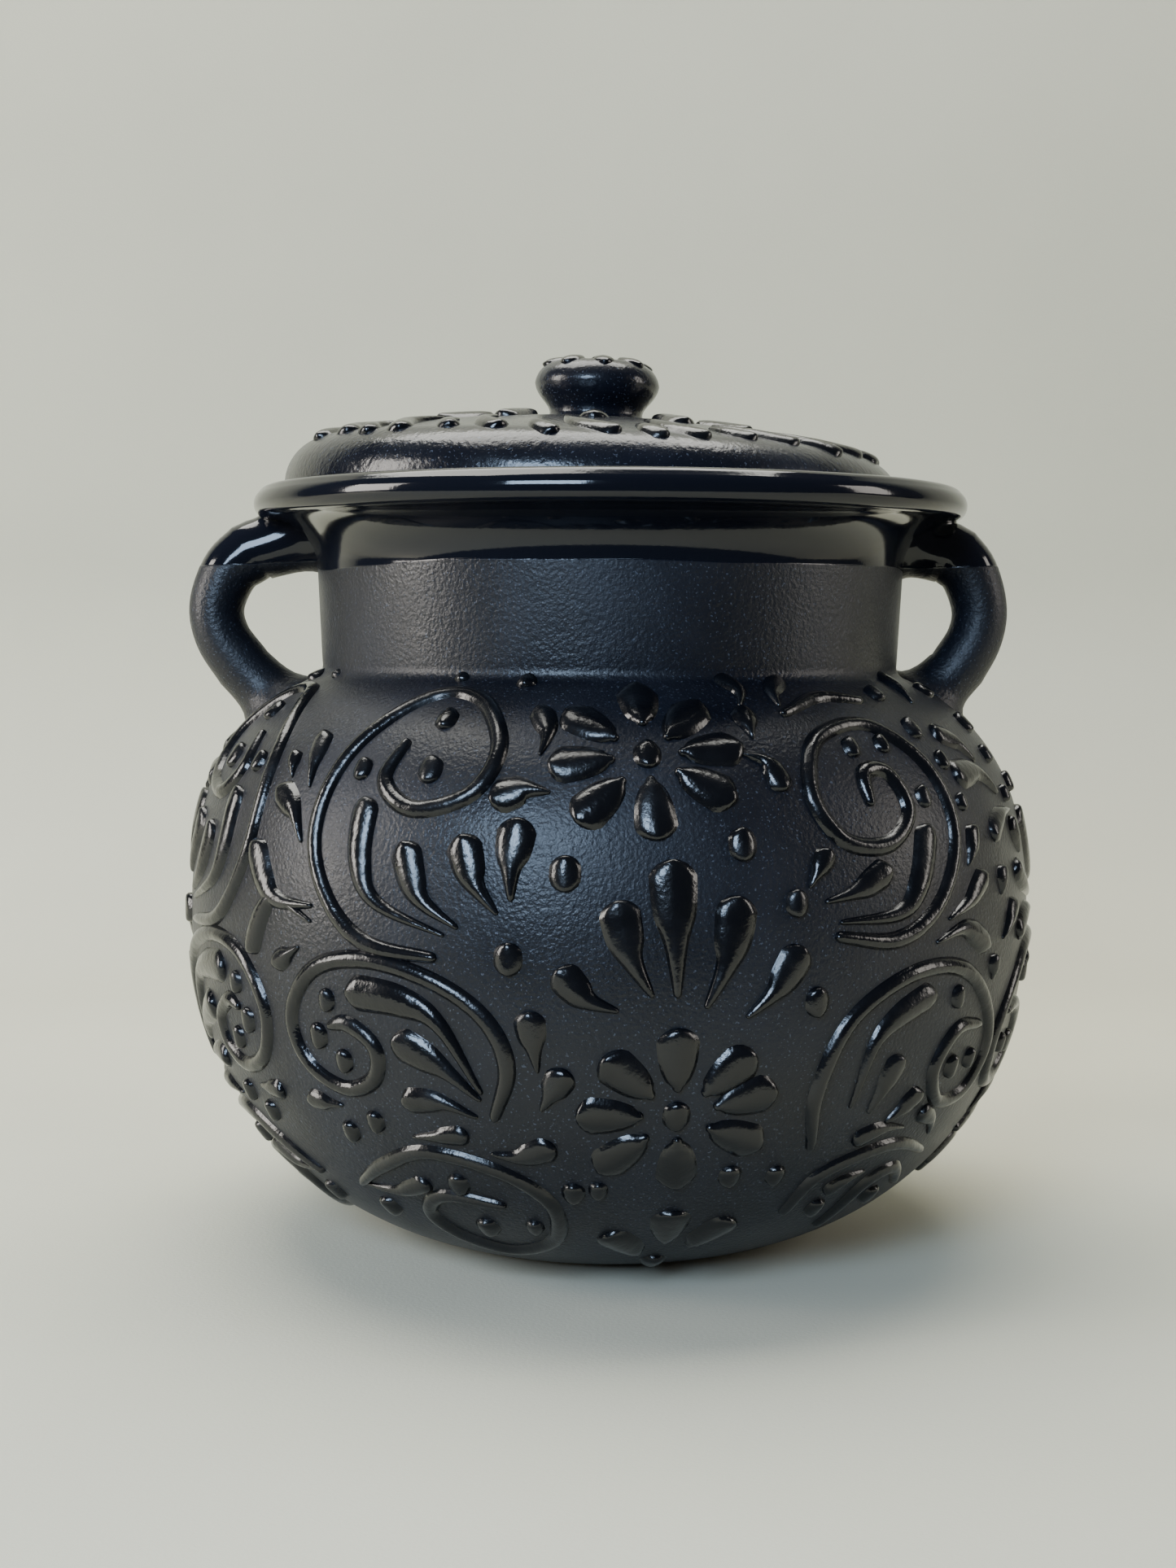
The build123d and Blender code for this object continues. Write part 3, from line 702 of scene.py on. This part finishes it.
@dataclass
class Vessel:
    """The thrown pot: belly, neck, flared rim with its bead, and the seat for the lid."""

    belly: Belly = field(default_factory=Belly)
    wall: float = 6.0
    floor: float = 8.0
    neck_top: float = 87.5
    neck_wall: float = 7.0
    flare_arc: float = 15.0
    flare_height: float = 198.0
    rim: float = 106.2
    rim_widest: float = 217.4
    crest_radius: float = 101.5
    crest: float = 222.1
    seat_slope: float = 32.0
    seat_height: float = 214.8
    seat_radius: float = 92.0
    seat_top: float = 98.6
    seat_foot: float = 86.0
    wander: float = 0.2

    def seat_at(self, radius: float) -> float:
        """Height of the seat cone at a radius."""
        return self.seat_height + (radius - self.seat_radius) * math.tan(math.radians(self.seat_slope))

    def outline(self) -> Outline:
        """The whole section, from the axis under the foot round to the axis on the floor."""
        inside = self.neck_top - self.neck_wall
        outer = self.belly.outline(0, 0, self.belly.neck_radius + 1.8, 28)
        crease = outer[-1]
        neck_start = (self.belly.neck_radius + 0.1, crease[1] + 4.2)
        fillet = through(crease, (self.belly.neck_radius + 0.45, crease[1] + 1.5), neck_start, 5)[1:]
        widening, rising = self.neck_top - neck_start[0], self.flare_height - neck_start[1]
        neck = [
            (neck_start[0] + widening * step / 12, neck_start[1] + rising * step / 12)
            for step in range(1, 12)
        ]
        flare = Arc((self.neck_top + self.flare_arc, self.flare_height), self.flare_arc).sweep(180, 91, 24)
        under = (self.rim - 1.7, self.flare_height + self.flare_arc + 0.6)
        side = (self.rim - 1.6, self.crest - 1.6)
        bead = through(under, (self.rim, self.rim_widest - 0.3), side, 12)
        seat_edge = (self.seat_top, self.seat_at(self.seat_top) + 1.0)
        crest = through(side, (self.crest_radius, self.crest), seat_edge, 12)[1:]
        seat = [
            (radius, self.seat_at(radius))
            for radius in (self.seat_top, 97.5, 95.5, 93, 90.5, 88, self.seat_foot)
        ]
        throat = through((self.seat_foot, self.seat_at(self.seat_foot)), (82.2, 206.8), (inside, 199), 8)[1:]
        inner = self.belly.outline(-self.wall, self.floor, inside, 20)
        foot = [(0, 0), (outer[0][0] * 0.5, 0), (outer[0][0] - 1.0, 0)]
        bottom = [(30, self.floor), (0, self.floor)]
        outside = foot + outer + fillet + neck + flare + bead
        return outside + crest + seat + throat + inner[::-1] + bottom

    def build(self) -> bpy.types.Object:
        """Throw the pot."""
        return lathe("pot_vessel", self.outline(), wander=self.wander)

    def skin(self) -> Skin:
        """The belly as a skin to trail slip on; its stations are heights."""

        def profile(height: float) -> Place:
            arc = self.belly.arc_at(height)
            return arc.centre[0] + math.sqrt(max(arc.radius**2 - (height - arc.centre[1]) ** 2, 1.0)), height

        return Skin(profile, wander=self.wander)


@dataclass
class Handle:
    """One loop of rolled clay, pressed on under the rim and on the shoulder."""

    side: int
    reach: float
    lift: float = 0.0
    breadth: float = 19.0
    around: int = 40

    # Radius, height and depth of the roll along the loop's free stretch, for a reach of 118.7 mm.
    LOOP = (
        (108.2, 203.6, 18.8), (114.6, 198.0, 17.4), (118.7, 187.5, 16.5),
        (117.0, 178.0, 16.5), (110.6, 168.6, 17.2),
    )
    LOOP_REACH = 118.7
    ROOT = 84.0
    # Directions in which the two ends run to the wall.
    TOP_RUN = Vector((-0.96, 0.0, 0.28))
    FOOT_RUN = Vector((-0.70, 0.0, -0.71))
    # Share of the way to the wall, and how much of the spreading has come about there.
    SPREADING = (
        (0.2, 0.0), (0.4, 0.04), (0.58, 0.13), (0.74, 0.3), (0.87, 0.58), (0.96, 0.88), (1.0, 1.1),
    )
    SINK = 1.6

    def _path(self) -> list[list[float]]:
        """The middle of the roll along the loop: radius, height and depth."""
        stretch = (self.reach - self.ROOT) / (self.LOOP_REACH - self.ROOT)
        rows = []
        for radius, height, depth in self.LOOP:
            raised = height + self.lift * max(0.0, (187.5 - height) / 20)
            rows.append([self.ROOT + (radius - self.ROOT) * stretch, raised, depth])
        return smooth_line(rows, 1.6)

    def _section(self, row: list[float], run: Vector) -> tuple[list[Vector], list[Vector]]:
        """One section of the roll.

        Args:
            row: radius, height and depth of the middle.
            run: direction of the roll.

        Returns:
            The section's points, then the outward direction at each, both in millimetres on the +X side.
        """
        across = Vector((-run.z, 0, run.x)).normalized() * -1
        points, outward = [], []
        for step in range(self.around):
            turn = 2 * math.pi * step / self.around
            off = across * (row[2] / 2 * math.cos(turn)) + Vector((0, self.breadth / 2 * math.sin(turn), 0))
            points.append(Vector((row[0], 0, row[1])) + off)
            outward.append(off.normalized())
        return points, outward

    def _root(self, row: list[float], run: Vector, wall: BVHTree, flares: Place) -> list[list[Vector]]:
        """Carry the roll on from a section to the wall, spreading where it was pressed on.

        Args:
            row: radius, height and depth of the last free section.
            run: direction towards the wall.
            wall: search tree of the thrown pot.
            flares: how far the clay spreads on the upper and on the lower side of the roll.

        Returns:
            Rings of points from the free section to just under the wall's surface.
        """
        points, outward = self._section(row, run)
        rings = []
        for share, spread in self.SPREADING:
            ring = []
            for step, (point, out) in enumerate(zip(points, outward)):
                far_side = (1 - math.cos(2 * math.pi * step / self.around)) / 2
                start = point + out * (flares[0] + (flares[1] - flares[0]) * far_side) * spread
                hit = wall.ray_cast(start * MM, run)
                reach = 12.0 if hit[3] is None else min(hit[3] / MM, 24.0)
                sink = self.SINK if share == 1.0 else 0.0
                ring.append(start + run * (reach * share + sink))
            rings.append(ring)
        return rings

    def build(self, name: str, wall: BVHTree) -> bpy.types.Object:
        """Roll and press on the handle.

        Args:
            name: name of the piece.
            wall: search tree of the thrown pot.

        Returns:
            The piece.
        """
        path = self._path()
        top_run, foot_run = self.TOP_RUN.normalized(), self.FOOT_RUN.normalized()
        rings = self._root(path[0], top_run, wall, (0.6, 2.4))[::-1]
        for index, row in enumerate(path):
            before, after = path[max(index - 1, 0)], path[min(index + 1, len(path) - 1)]
            run = Vector((after[0] - before[0], 0, after[1] - before[1])).normalized()
            rings.append(self._section(row, -run)[0])
        low = self._root(path[-1], foot_run, wall, (4.6, 4.0))
        # The loop turns over on its way down, so the lower rings run the other way round.
        half = self.around // 2
        low = [[ring[(half - step) % self.around] for step in range(self.around)] for ring in low]
        rings += low
        points = [Vector((self.side * p.x, p.y, p.z)) * MM for ring in rings for p in ring]
        faces = []
        for ring in range(len(rings) - 1):
            for step in range(self.around):
                ahead = (step + 1) % self.around
                low_row, high_row = ring * self.around, (ring + 1) * self.around
                face = (low_row + step, low_row + ahead, high_row + ahead, high_row + step)
                faces.append(face if self.side < 0 else face[::-1])
        return new_piece(name, points, faces)


class Section:
    """A thrown outline read as height over radius, from its widest point in to the axis."""

    def __init__(self, outline: Sequence[Place]) -> None:
        """Keep the outline, widest point first."""
        self.outline = list(outline)

    @property
    def widest(self) -> float:
        """Radius of the first point."""
        return self.outline[0][0]

    def at(self, station: float) -> Place:
        """Radius and height at a distance in from the widest point, measured across."""
        radius = self.widest - station
        for (outer, high), (inner, higher) in zip(self.outline, self.outline[1:]):
            if inner <= radius <= outer and outer > inner:
                return radius, high + (higher - high) * (outer - radius) / (outer - inner)
        return radius, self.outline[0][1] if station < 0 else self.outline[-1][1]


# Azimuth and distance from the lid's axis of the head, then of the tail, then width and bow.
LID_COMMAS = [
    (2.8, 81.5, -7.2, 60, 7.5, 0.12), (12, 83, 9.2, 74, 6.5, 0.1), (20, 81.5, 14, 59, 7.5, 0.12),
    (31, 80, 27.5, 69, 6.5, 0.1), (41, 80, 33.5, 60, 7.5, 0.12), (52, 83.5, 47, 70, 6.5, 0.1),
]
LID_SECTORS = 6
LID_PETALS = 12
KNOB_PETALS = 8


@dataclass
class Lid:
    """The domed lid, where it slipped to in the seat."""

    radius: float = 92.0
    shoulder_arc: float = 14.0
    dome_arc: float = 350.0
    rise: float = 28.0
    wall: float = 6.0
    slip: float = 5.5
    seat: float = 215.25
    seat_slope: float = 32.0
    relief: float = 1.8
    wander: float = 0.15

    @property
    def placing(self) -> Matrix:
        """Where the lid's own axis stands: slipped aside, and tipped by the cone of the seat."""
        tilt = math.asin(math.tan(math.radians(self.seat_slope)) * self.slip / self.radius)
        return Matrix.Translation(Vector((-self.slip, 0, self.seat)) * MM) @ Matrix.Rotation(tilt, 4, "Y")

    def top(self, grow: float, fineness: int) -> Outline:
        """The upper outline, from the edge to the axis.

        Args:
            grow: how far outside the surface it runs.
            fineness: stretches on the shoulder.

        Returns:
            (radius, height) points.
        """
        reach = self.dome_arc - self.shoulder_arc
        edge_radius = self.radius - self.shoulder_arc
        turn = 90 - math.degrees(math.asin(edge_radius / reach))
        centre_height = self.rise - self.dome_arc
        edge_height = centre_height + math.sqrt(reach**2 - edge_radius**2)
        edge = Arc((edge_radius, edge_height), self.shoulder_arc + grow)
        dome = Arc((0, centre_height), self.dome_arc + grow)
        return edge.sweep(0, turn, fineness) + dome.sweep(turn, 90, 2 * fineness)[1:]

    def build(self) -> bpy.types.Object:
        """Throw the lid."""
        under = self.top(-self.wall, 10)
        edge = [(under[0][0] + 0.6, 0), (self.radius - 0.9, 0), (self.radius - 0.1, 0.9)]
        outline = under[::-1] + edge + self.top(0, 22)[1:]
        outline[0] = (0, outline[0][1])
        outline[-1] = (0, outline[-1][1])
        return lathe("pot_lid", outline, self.placing, wander=self.wander)

    def ornament(self) -> SlipGroup:
        """The slip on the dome: a ring of leaning drops round the outside, a ring of petals inside it."""
        section = Section(self.top(0, 22))
        group = SlipGroup(Skin(section.at, self.placing, self.wander), self.relief)
        for sector in range(LID_SECTORS):
            turn = 360 / LID_SECTORS * sector
            for head_azimuth, head, tail_azimuth, tail, width, bow in LID_COMMAS:
                head_place = (turn + head_azimuth, self.radius - head)
                group.drop(head_place, (turn + tail_azimuth, self.radius - tail), width, bow)
        for petal in range(LID_PETALS):
            turn = 360 / LID_PETALS * petal
            group.petal((turn, self.radius - 43), (turn, self.radius - 5), 8.5, 19)
        return group


@dataclass
class Knob:
    """The knob, drawn up from the middle of the lid into a flower."""

    lid: Lid
    stem: float = 13.8
    brow: float = 18.7
    height: float = 18.0
    widest: float = 10.5
    relief: float = 1.1

    def outline(self) -> Outline:
        """The knob's outline from inside the lid's wall to the axis on top."""
        foot = self.lid.rise
        stem = [
            (self.stem + 4.6, foot - 3), (self.stem + 2.6, foot - 1.0), (self.stem + 0.9, foot + 0.3),
            (self.stem + 0.1, foot + 1.6), (self.stem + 0.5, foot + 3.2), (self.stem + 1.7, foot + 4.9),
            (self.stem + 3.2, foot + 6.7), (self.stem + 4.4, foot + 8.7),
        ]
        curve = smooth_line(stem + [(self.brow, foot + self.widest)], 0.9)
        brow = through(
            (self.brow, foot + self.widest),
            (self.brow - 1.7, foot + self.widest + 4),
            (self.brow - 6, foot + self.height - 1),
            10,
        )
        top = foot + self.height
        crown = [(10.4, top - 0.7), (7.0, top - 0.35), (3.5, top - 0.1), (0, top)]
        return [(0, foot - 3)] + [(radius, height) for radius, height in curve] + brow[1:] + crown

    def build(self) -> bpy.types.Object:
        """Throw the knob."""
        return lathe("pot_knob", self.outline(), self.lid.placing, 96, 0.25)

    def ornament(self) -> SlipGroup:
        """The petals of slip on the knob, round a button in the middle."""
        outline = self.outline()
        widest = max(range(len(outline)), key=lambda index: outline[index][0])
        section = Section(outline[widest:])
        group = SlipGroup(Skin(section.at, self.lid.placing, 0.25), self.relief)
        for petal in range(KNOB_PETALS):
            turn = 360 / KNOB_PETALS * petal + 8
            group.petal((turn, section.widest - 11.6), (turn, section.widest - 2), 6.8, 9.5)
        group.dot(0, section.widest - 1.2, 5.6)
        return group


# ------------------------------------------------------------------------------- finishes
class Nodes:
    """A small writer for shader trees."""

    def __init__(self, name: str) -> None:
        """Start an empty material."""
        self.material = bpy.data.materials.new(name)
        self.material.use_nodes = True
        self.tree = self.material.node_tree
        self.tree.nodes.clear()
        self.place = self.add("ShaderNodeTexCoord").outputs["Object"]

    def add(self, kind: str, **settings: object) -> bpy.types.Node:
        """Add a node with some of its settings filled in."""
        node = self.tree.nodes.new(kind)
        for key, value in settings.items():
            setattr(node, key, value)
        return node

    def feed(self, socket: Socket, value: object) -> None:
        """Set a socket to a constant or link another socket to it."""
        if isinstance(value, Socket):
            self.tree.links.new(value, socket)
        else:
            socket.default_value = value

    def noise(self, scale: float, detail: float = 3.0, stretch: Vector | None = None) -> Socket:
        """Value of a fractal noise over the object.

        Args:
            scale: features per metre.
            detail: octaves.
            stretch: scale of the three directions; none leaves them alike.

        Returns:
            The socket with the value.
        """
        node = self.add("ShaderNodeTexNoise")
        place = self.place
        if stretch is not None:
            mapping = self.add("ShaderNodeMapping")
            mapping.inputs["Scale"].default_value = stretch
            self.feed(mapping.inputs["Vector"], place)
            place = mapping.outputs["Vector"]
        self.feed(node.inputs["Vector"], place)
        node.inputs["Scale"].default_value = scale
        node.inputs["Detail"].default_value = detail
        return node.outputs["Fac"]

    def grains(self, scale: float) -> Socket:
        """Distance to the middle of the nearest of many scattered grains."""
        node = self.add("ShaderNodeTexVoronoi")
        self.feed(node.inputs["Vector"], self.place)
        node.inputs["Scale"].default_value = scale
        return node.outputs["Distance"]

    def ramp(self, value: object, low: float, high: float, start: object = 0.0, stop: object = 1.0) -> Socket:
        """Map a value to another range, held at both ends.

        Args:
            value: the socket to read.
            low: value that gives start.
            high: value that gives stop.
            start: first result.
            stop: last result.

        Returns:
            The socket with the result.
        """
        node = self.add("ShaderNodeMapRange")
        names = ("Value", "From Min", "From Max", "To Min", "To Max")
        for key, given in zip(names, (value, low, high, start, stop)):
            self.feed(node.inputs[key], given)
        return node.outputs["Result"]

    def math(self, operation: str, first: object, second: object) -> Socket:
        """Combine two values."""
        node = self.add("ShaderNodeMath", operation=operation)
        self.feed(node.inputs[0], first)
        self.feed(node.inputs[1], second)
        return node.outputs[0]

    def mix(self, share: object, first: object, second: object) -> Socket:
        """Blend two colours."""
        node = self.add("ShaderNodeMix", data_type="RGBA")
        self.feed(node.inputs[0], share)
        self.feed(node.inputs[6], first)
        self.feed(node.inputs[7], second)
        return node.outputs[2]

    def blend(self, share: object, first: object, second: object) -> Socket:
        """Blend two values."""
        node = self.add("ShaderNodeMix", data_type="FLOAT")
        self.feed(node.inputs[0], share)
        self.feed(node.inputs[2], first)
        self.feed(node.inputs[3], second)
        return node.outputs[0]

    def bump(self, height: object, distance: float, strength: float, under: object = None) -> Socket:
        """Raise the surface by a height, over another bump if there is one."""
        node = self.add("ShaderNodeBump")
        node.inputs["Strength"].default_value = strength
        node.inputs["Distance"].default_value = distance
        self.feed(node.inputs["Height"], height)
        if under is not None:
            self.feed(node.inputs["Normal"], under)
        return node.outputs["Normal"]

    def shade(self, colour: object, roughness: object, normal: object, specular: float) -> bpy.types.Material:
        """Close the tree with the surface shader.

        Args:
            colour: base colour.
            roughness: roughness.
            normal: bumped normal.
            specular: level of the mirror-like part.

        Returns:
            The finished material.
        """
        shader = self.add("ShaderNodeBsdfPrincipled")
        self.feed(shader.inputs["Base Color"], colour)
        self.feed(shader.inputs["Roughness"], roughness)
        self.feed(shader.inputs["Normal"], normal)
        shader.inputs["Specular IOR Level"].default_value = specular
        output = self.add("ShaderNodeOutputMaterial")
        self.feed(output.inputs["Surface"], shader.outputs["BSDF"])
        return self.material


@dataclass(frozen=True)
class ClayFinish:
    """Smoke-blackened clay: burnished to a satin, glossy where thicker slip lies on it, with painted glints:
    pale bluish specks in its colour.
    """

    name: str
    colour: tuple[float, float, float] = (0.0045, 0.0055, 0.0095)
    bloom: tuple[float, float, float] = (0.0085, 0.0105, 0.0175)
    roughness: float = 0.40
    variation: float = 0.12
    grain: float = 0.75
    grain_size: float = 1.1
    # Strength of the painted glints: pale specks that stand in for highlights.
    painted_glints: float = 0.55
    ripple: float = 0.0
    specular: float = 0.42
    dipped_above: float | None = None
    dip_roughness: float = 0.09

    # Colour of the painted glints: pale bluish specks that stand in for highlights on the burnished grain.
    PAINTED_GLINT = (0.085, 0.10, 0.135)

    def build(self) -> bpy.types.Material:
        """Mix the finish."""
        nodes = Nodes(self.name)
        cloud = nodes.noise(22, 4)
        streak = nodes.noise(40, 3, Vector((1.0, 1.0, 0.12)))
        grain = nodes.noise(1000 / self.grain_size, 2)
        pits = nodes.ramp(nodes.grains(700), 0.02, 0.16)
        bloom = nodes.ramp(nodes.math("MULTIPLY", cloud, streak), 0.18, 0.38)
        burnished, dull = self.roughness - self.variation / 2, self.roughness + self.variation
        roughness = nodes.ramp(cloud, 0.32, 0.68, burnished, dull)
        height = nodes.math("ADD", grain, nodes.math("MULTIPLY", pits, 0.25))
        colour = nodes.mix(bloom, (*self.colour, 1), (*self.bloom, 1))
        # Painted glints: fine pale bluish specks scattered in the colour, standing in for highlights.
        painted_glints = nodes.ramp(nodes.noise(1500, 1), 0.66, 0.72, 0, self.painted_glints)
        colour = nodes.mix(painted_glints, colour, (*self.PAINTED_GLINT, 1))
        if self.dipped_above is not None:
            split = nodes.add("ShaderNodeSeparateXYZ")
            nodes.feed(split.inputs[0], nodes.place)
            sway = nodes.ramp(nodes.noise(14, 1), 0.3, 0.7, -0.0012, 0.0012)
            line = nodes.math("ADD", split.outputs["Z"], sway)
            edge = self.dipped_above * MM
            dipped = nodes.ramp(line, edge - 0.0002, edge + 0.0002)
            roughness = nodes.blend(dipped, roughness, self.dip_roughness)
            height = nodes.math("MULTIPLY", height, nodes.ramp(dipped, 0, 1, 1, 0.06))
            colour = nodes.mix(dipped, colour, (*self.colour, 1))
        normal = nodes.bump(height, 0.0003, self.grain)
        if self.ripple > 0:
            rings = nodes.noise(60, 2, Vector((0.15, 0.15, 2.2)))
            normal = nodes.bump(rings, 0.002, self.ripple, normal)
        return nodes.shade(colour, roughness, normal, self.specular)


@dataclass(frozen=True)
class SlipFinish:
    """Trailed slip, glossier than the clay below it."""

    name: str
    colour: tuple[float, float, float] = (0.0035, 0.0040, 0.0055)
    roughness: float = 0.17
    worn: float = 0.14
    grain: float = 0.3
    specular: float = 0.5

    def build(self) -> bpy.types.Material:
        """Mix the finish."""
        nodes = Nodes(self.name)
        cloud = nodes.noise(90, 3)
        fine = nodes.noise(1400, 2)
        roughness = nodes.ramp(cloud, 0.42, 0.75, self.roughness, self.roughness + self.worn)
        lighter = tuple(1.7 * part for part in self.colour)
        colour = nodes.mix(nodes.ramp(cloud, 0.5, 0.8), (*self.colour, 1), (*lighter, 1))
        lumps = nodes.bump(nodes.noise(260, 2), 0.0008, 0.3)
        normal = nodes.bump(fine, 0.0002, self.grain, lumps)
        return nodes.shade(colour, roughness, normal, self.specular)


@dataclass(frozen=True)
class BackgroundFinish:
    """Plain cloth or board behind and under the pot."""

    name: str
    colour: tuple[float, float, float]
    roughness: float = 0.8

    def build(self) -> bpy.types.Material:
        """Mix the finish."""
        nodes = Nodes(self.name)
        mottle = nodes.ramp(nodes.noise(5, 3), 0.3, 0.7)
        darker = tuple(0.93 * part for part in self.colour)
        colour = nodes.mix(mottle, (*self.colour, 1), (*darker, 1))
        normal = nodes.bump(nodes.noise(900, 2), 0.0005, 0.15)
        return nodes.shade(colour, self.roughness, normal, 0.2)


# ------------------------------------------------------------------------------- the room
@dataclass(frozen=True)
class SoftLight:
    """A large soft light, aimed at the pot."""

    name: str
    place: tuple[float, float, float]
    width: float
    height: float
    watts: float
    colour: tuple[float, float, float] = (1.0, 1.0, 1.0)
    aim: tuple[float, float, float] = (0.0, 0.0, 0.12)

    def build(self) -> bpy.types.Object:
        """Hang the light."""
        lamp = bpy.data.lights.new(self.name, "AREA")
        lamp.shape = "RECTANGLE"
        lamp.size = self.width
        lamp.size_y = self.height
        lamp.energy = self.watts
        lamp.color = self.colour
        light = bpy.data.objects.new(self.name, lamp)
        light.location = self.place
        light.rotation_euler = (Vector(self.aim) - Vector(self.place)).to_track_quat("-Z", "Y").to_euler()
        bpy.context.scene.collection.objects.link(light)
        return light


@dataclass
class Stage:
    """A pale floor that sweeps up into a backdrop, with soft lights and the camera."""

    half_width: float = 1.6
    near: float = -0.38
    bend_start: float = 0.42
    bend_arc: float = 0.22
    top: float = 1.5
    floor: tuple[float, float, float] = (0.57, 0.565, 0.465)
    lens: float = 49.9
    camera_place: tuple[float, float, float] = (0.0, -0.6594, 0.180)
    camera_tilt: float = 85.99
    camera_turn: float = 0.55
    camera_roll: float = 0.24

    LIGHTS = (
        SoftLight("light_window", (-0.40, -1.15, 0.62), 0.5, 0.45, 17, (0.55, 0.74, 1.0)),
        SoftLight("light_left", (-1.4, -0.3, 0.5), 0.5, 0.8, 18, (1.0, 0.95, 0.88)),
        SoftLight("light_right", (1.45, -0.1, 0.55), 0.4, 0.8, 6, (1.0, 0.94, 0.86)),
        SoftLight("light_above", (-0.1, 0.35, 1.5), 1.5, 1.0, 46, (1.0, 0.99, 0.92)),
    )

    def _sweep(self) -> bpy.types.Object:
        """The floor and backdrop in one curved sheet."""
        line = [(self.near, 0.0), (self.bend_start, 0.0)]
        bend = Arc((self.bend_start, self.bend_arc), self.bend_arc).sweep(-90, 0, 24)
        line += bend[1:] + [(self.bend_start + self.bend_arc, self.top)]
        points = [Vector((side * self.half_width, y, z)) for y, z in line for side in (-1, 1)]
        faces = [(2 * row, 2 * row + 1, 2 * row + 3, 2 * row + 2) for row in range(len(line) - 1)]
        return new_piece("stage_sweep", points, faces)

    def _camera(self) -> None:
        """Stand the camera where the pot was looked at from."""
        scene = bpy.context.scene
        lens = bpy.data.cameras.new("camera")
        lens.lens = self.lens
        lens.sensor_width = 36.0
        camera = bpy.data.objects.new("camera", lens)
        angles = (self.camera_turn, self.camera_tilt, self.camera_roll)
        turn, tilt, roll = (math.radians(angle) for angle in angles)
        camera.matrix_world = (
            Matrix.Translation(self.camera_place)
            @ Matrix.Rotation(turn, 4, "Z")
            @ Matrix.Rotation(tilt, 4, "X")
            @ Matrix.Rotation(roll, 4, "Z")
        )
        scene.collection.objects.link(camera)
        scene.camera = camera

    def build(self) -> None:
        """Set the stage."""
        sweep = self._sweep()
        sweep.data.materials.append(BackgroundFinish("backdrop", self.floor).build())
        for light in self.LIGHTS:
            light.build()
        world = bpy.data.worlds.new("room")
        world.use_nodes = True
        sky = world.node_tree.nodes["Background"]
        sky.inputs["Color"].default_value = (0.93, 0.95, 1.0, 1)
        sky.inputs["Strength"].default_value = 0.06
        bpy.context.scene.world = world
        self._camera()


# ------------------------------------------------------------------------------- assembly
class Part(Enum):
    """The two things that can be picked up."""

    POT = "pot"
    LID = "lid"


def hand_in(piece: bpy.types.Object, node: str, part: Part, finish: bpy.types.Material) -> None:
    """Give a piece its finish and its place in the frame.

    Args:
        piece: the piece.
        node: name of the designed piece that it stands for.
        part: what it moves with.
        finish: its material.
    """
    piece.data.materials.append(finish)
    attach(piece, part.value)
    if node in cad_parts:
        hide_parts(node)
    LOG.info("%s: %d faces", piece.name, len(piece.data.polygons))


def build_pot(slip: bpy.types.Material) -> None:
    """Throw the vessel, press on its handles and trail the slip on its belly."""
    vessel = Vessel()
    wall = vessel.build()
    clay = ClayFinish("satin_clay", dipped_above=198.5, ripple=0.05).build()
    tree = BVHTree.FromPolygons([v.co for v in wall.data.vertices], [p.vertices for p in wall.data.polygons])
    hand_in(wall, "vessel", Part.POT, clay)
    handle_clay = ClayFinish("handle_clay", dipped_above=200.0, roughness=0.42).build()
    for name, side, reach, lift in (("left_handle", -1, 118.9, 0.0), ("right_handle", 1, 111.5, 0.8)):
        handle = Handle(side, reach, lift).build("pot_" + name, tree)
        hand_in(handle, name, Part.POT, handle_clay)
    ornament = Ornament(vessel.skin())
    for panel in Panel:
        piece = ornament.trail(panel).finish("slip_" + panel.value)
        hand_in(piece, panel.value + "_slip", Part.POT, slip)


def build_lid(slip: bpy.types.Material) -> None:
    """Throw the lid and its knob, and trail the slip on both."""
    lid = Lid()
    knob = Knob(lid)
    clay = ClayFinish("lid_clay", roughness=0.2, variation=0.1, grain=0.5, grain_size=1.6).build()
    hand_in(lid.build(), "lid", Part.LID, clay)
    hand_in(knob.build(), "lid_knob", Part.LID, clay)
    hand_in(lid.ornament().finish("slip_lid"), "lid_slip", Part.LID, slip)
    hand_in(knob.ornament().finish("slip_knob"), "knob_petals", Part.LID, slip)


def main() -> None:
    """Build the pot piece by piece, then the room round it."""
    logging.basicConfig(level=logging.INFO, format="%(message)s")
    noise.seed_set(7)
    slip = SlipFinish("slip_gloss").build()
    build_pot(slip)
    build_lid(slip)
    Stage().build()


if __name__ == "__main__":
    main()
